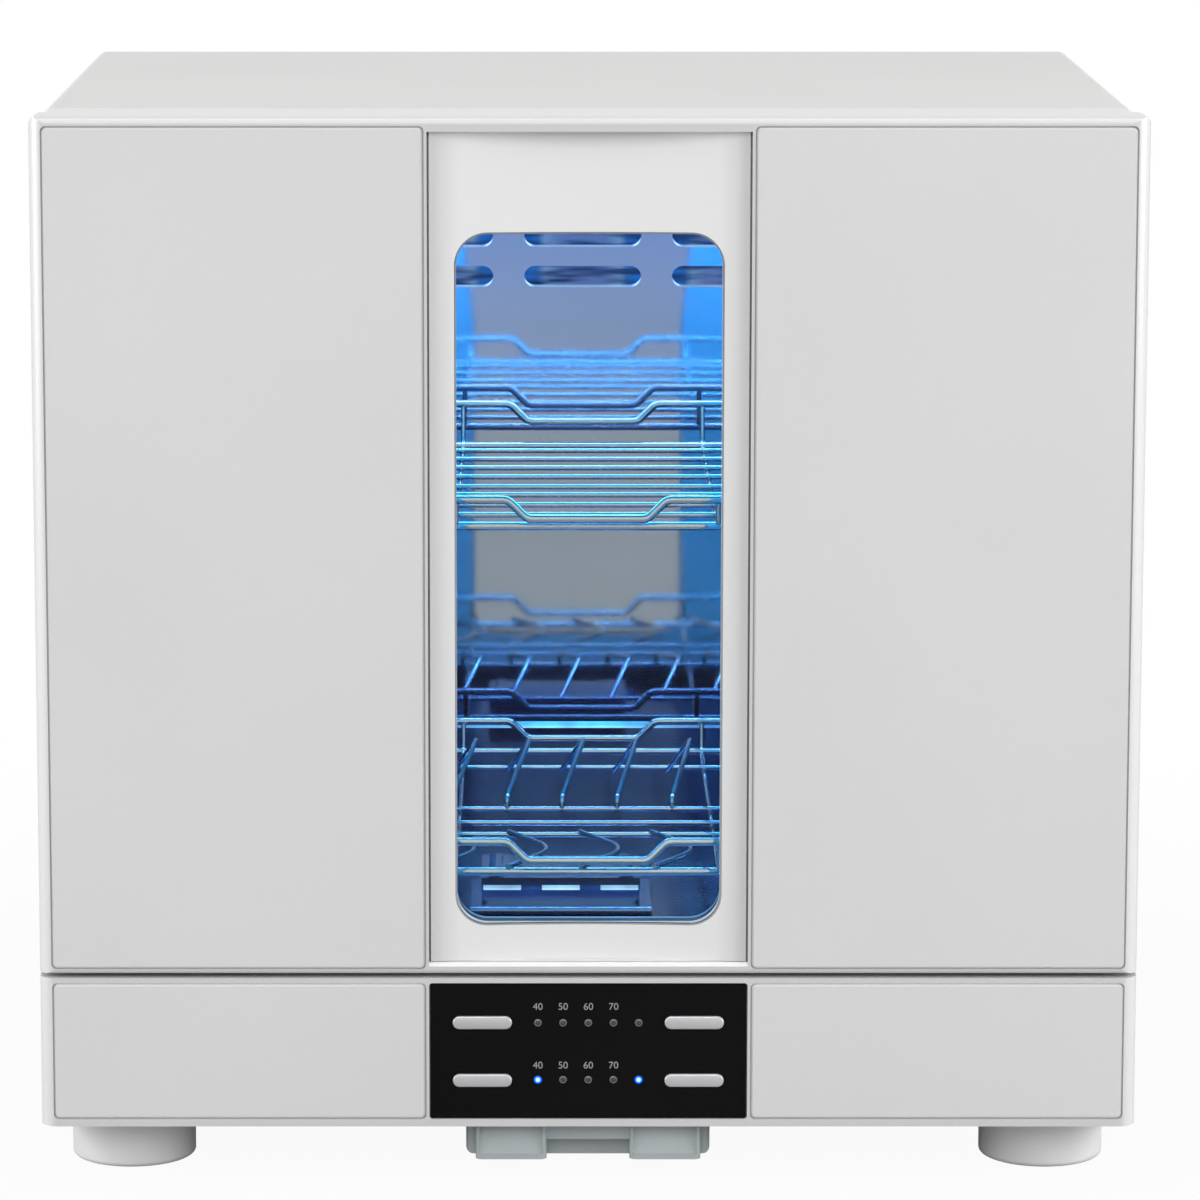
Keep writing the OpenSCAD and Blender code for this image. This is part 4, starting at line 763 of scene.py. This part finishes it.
# %% Floor, world and lamps
floor_paint, tree, surface = start("white studio floor", Roughness=0.9)
place = add(tree, "ShaderNodeTexCoord")
# The paint of the floor varies a little, over some 330 mm
speckle = add(tree, "ShaderNodeTexNoise", {"Vector": place.outputs["Object"], "Scale": 0.003 / MM})
floor_tone = stops(add(tree, "ShaderNodeValToRGB", {"Fac": speckle.outputs[0]}),
                   (0.3, "#A9A9A9"), (0.7, "#ADADAD"))
tree.links.new(floor_tone.outputs[0], surface.inputs["Base Color"])
FLOOR_GLOW = 0.95
seen = add(tree, "ShaderNodeLightPath")
away = add(tree, "ShaderNodeVectorMath", {0: place.outputs["Object"]}, operation="LENGTH")
whiter = add(tree, "ShaderNodeMapRange", {"Value": away.outputs["Value"], "From Min": 0.3, "From Max": 0.9,
                                          "To Min": FLOOR_GLOW, "To Max": 1.0},
             interpolation_type="SMOOTHSTEP")
share = add(tree, "ShaderNodeMath", {0: seen.outputs["Is Camera Ray"], 1: whiter.outputs[0]},
            operation="MULTIPLY")
bright = add(tree, "ShaderNodeEmission", {"Color": (1, 1, 1, 1), "Strength": 1.0})
blend = add(tree, "ShaderNodeMixShader", {0: share.outputs[0], 1: surface.outputs[0],
                                          2: bright.outputs[0]})
target = next(n for n in tree.nodes if n.type == "OUTPUT_MATERIAL")
tree.links.new(blend.outputs[0], target.inputs["Surface"])
mesh = bmesh.new()
bmesh.ops.create_grid(mesh, x_segments=1, y_segments=1, size=12)
data = bpy.data.meshes.new("floor")
mesh.to_mesh(data)
mesh.free()
data.materials.append(floor_paint)
floor_sheet = bpy.data.objects.new("floor", data)
bpy.context.scene.collection.objects.link(floor_sheet)

world = bpy.data.worlds.new("studio")
world.use_nodes = True
bpy.context.scene.world = world
tree = world.node_tree
tree.nodes.clear()
seen = add(tree, "ShaderNodeLightPath")
shown = add(tree, "ShaderNodeMath", {0: seen.outputs["Is Camera Ray"], 1: seen.outputs["Is Glossy Ray"]},
            operation="MAXIMUM")
shown = add(tree, "ShaderNodeMath", {0: shown.outputs[0], 1: seen.outputs["Is Transmission Ray"]},
            operation="MAXIMUM")
first = add(tree, "ShaderNodeMath", {0: seen.outputs["Diffuse Depth"], 1: 0.5}, operation="LESS_THAN")
shown = add(tree, "ShaderNodeMath", {0: shown.outputs[0], 1: first.outputs[0]}, operation="MULTIPLY")
soft = add(tree, "ShaderNodeBackground", {"Color": (1, 1, 1, 1), "Strength": 0.5})
white = add(tree, "ShaderNodeBackground", {"Color": (1, 1, 1, 1), "Strength": 1.0})
mixed = add(tree, "ShaderNodeMixShader", {0: shown.outputs[0], 1: soft.outputs[0], 2: white.outputs[0]})
add(tree, "ShaderNodeOutputWorld", {"Surface": mixed.outputs[0]})


def softbox(name, place, target, size, power, colour="#FFFFFF"):
    """An area light at a place that faces a target."""
    data = bpy.data.lights.new(name, "AREA")
    data.shape = "RECTANGLE"
    data.size, data.size_y = size
    data.energy = power
    data.color = linear(colour)[:3]
    made = bpy.data.objects.new(name, data)
    made.location = place
    made.rotation_euler = (Vector(target) - Vector(place)).to_track_quat("-Z", "Y").to_euler()
    made.visible_camera = False
    made.visible_transmission = False
    bpy.context.scene.collection.objects.link(made)
    return made


softbox("key", (-0.5, -2.6, 1.9), (0, 0, 0.3), (2.4, 1.6), 27)
softbox("left", (-2.2, -0.6, 0.8), (0, -0.1, 0.25), (1.4, 1.6), 38)
softbox("right", (2.1, -0.8, 0.9), (0, -0.1, 0.3), (1.4, 1.6), 44)
softbox("top", (0, 0.2, 2.4), (0, 0, 0.3), (2.2, 2.2), 3)
edge_line = softbox("edge line", (0, -0.62, 2.0), (0, -0.2, 0.48), (3.0, 0.10), 18)
edge_line.visible_diffuse = False
AZURE = "#1CA6F6"
softbox("lamp glow down", (0, 0.03, 0.4545), (0, 0.03, 0.1), (0.42, 0.26), 0.55, AZURE)
softbox("lamp glow forward", (0, 0.13, 0.43), (0, -0.18, 0.38), (0.36, 0.07), 1.4, AZURE)
shine = softbox("lamp shine", (0, 0.12, 0.452), (0, 0.05, 0.2), (0.36, 0.010), 0.5, "#D8F4FF")
shine.visible_diffuse = False
bpy.context.scene.view_settings.view_transform = "Standard"
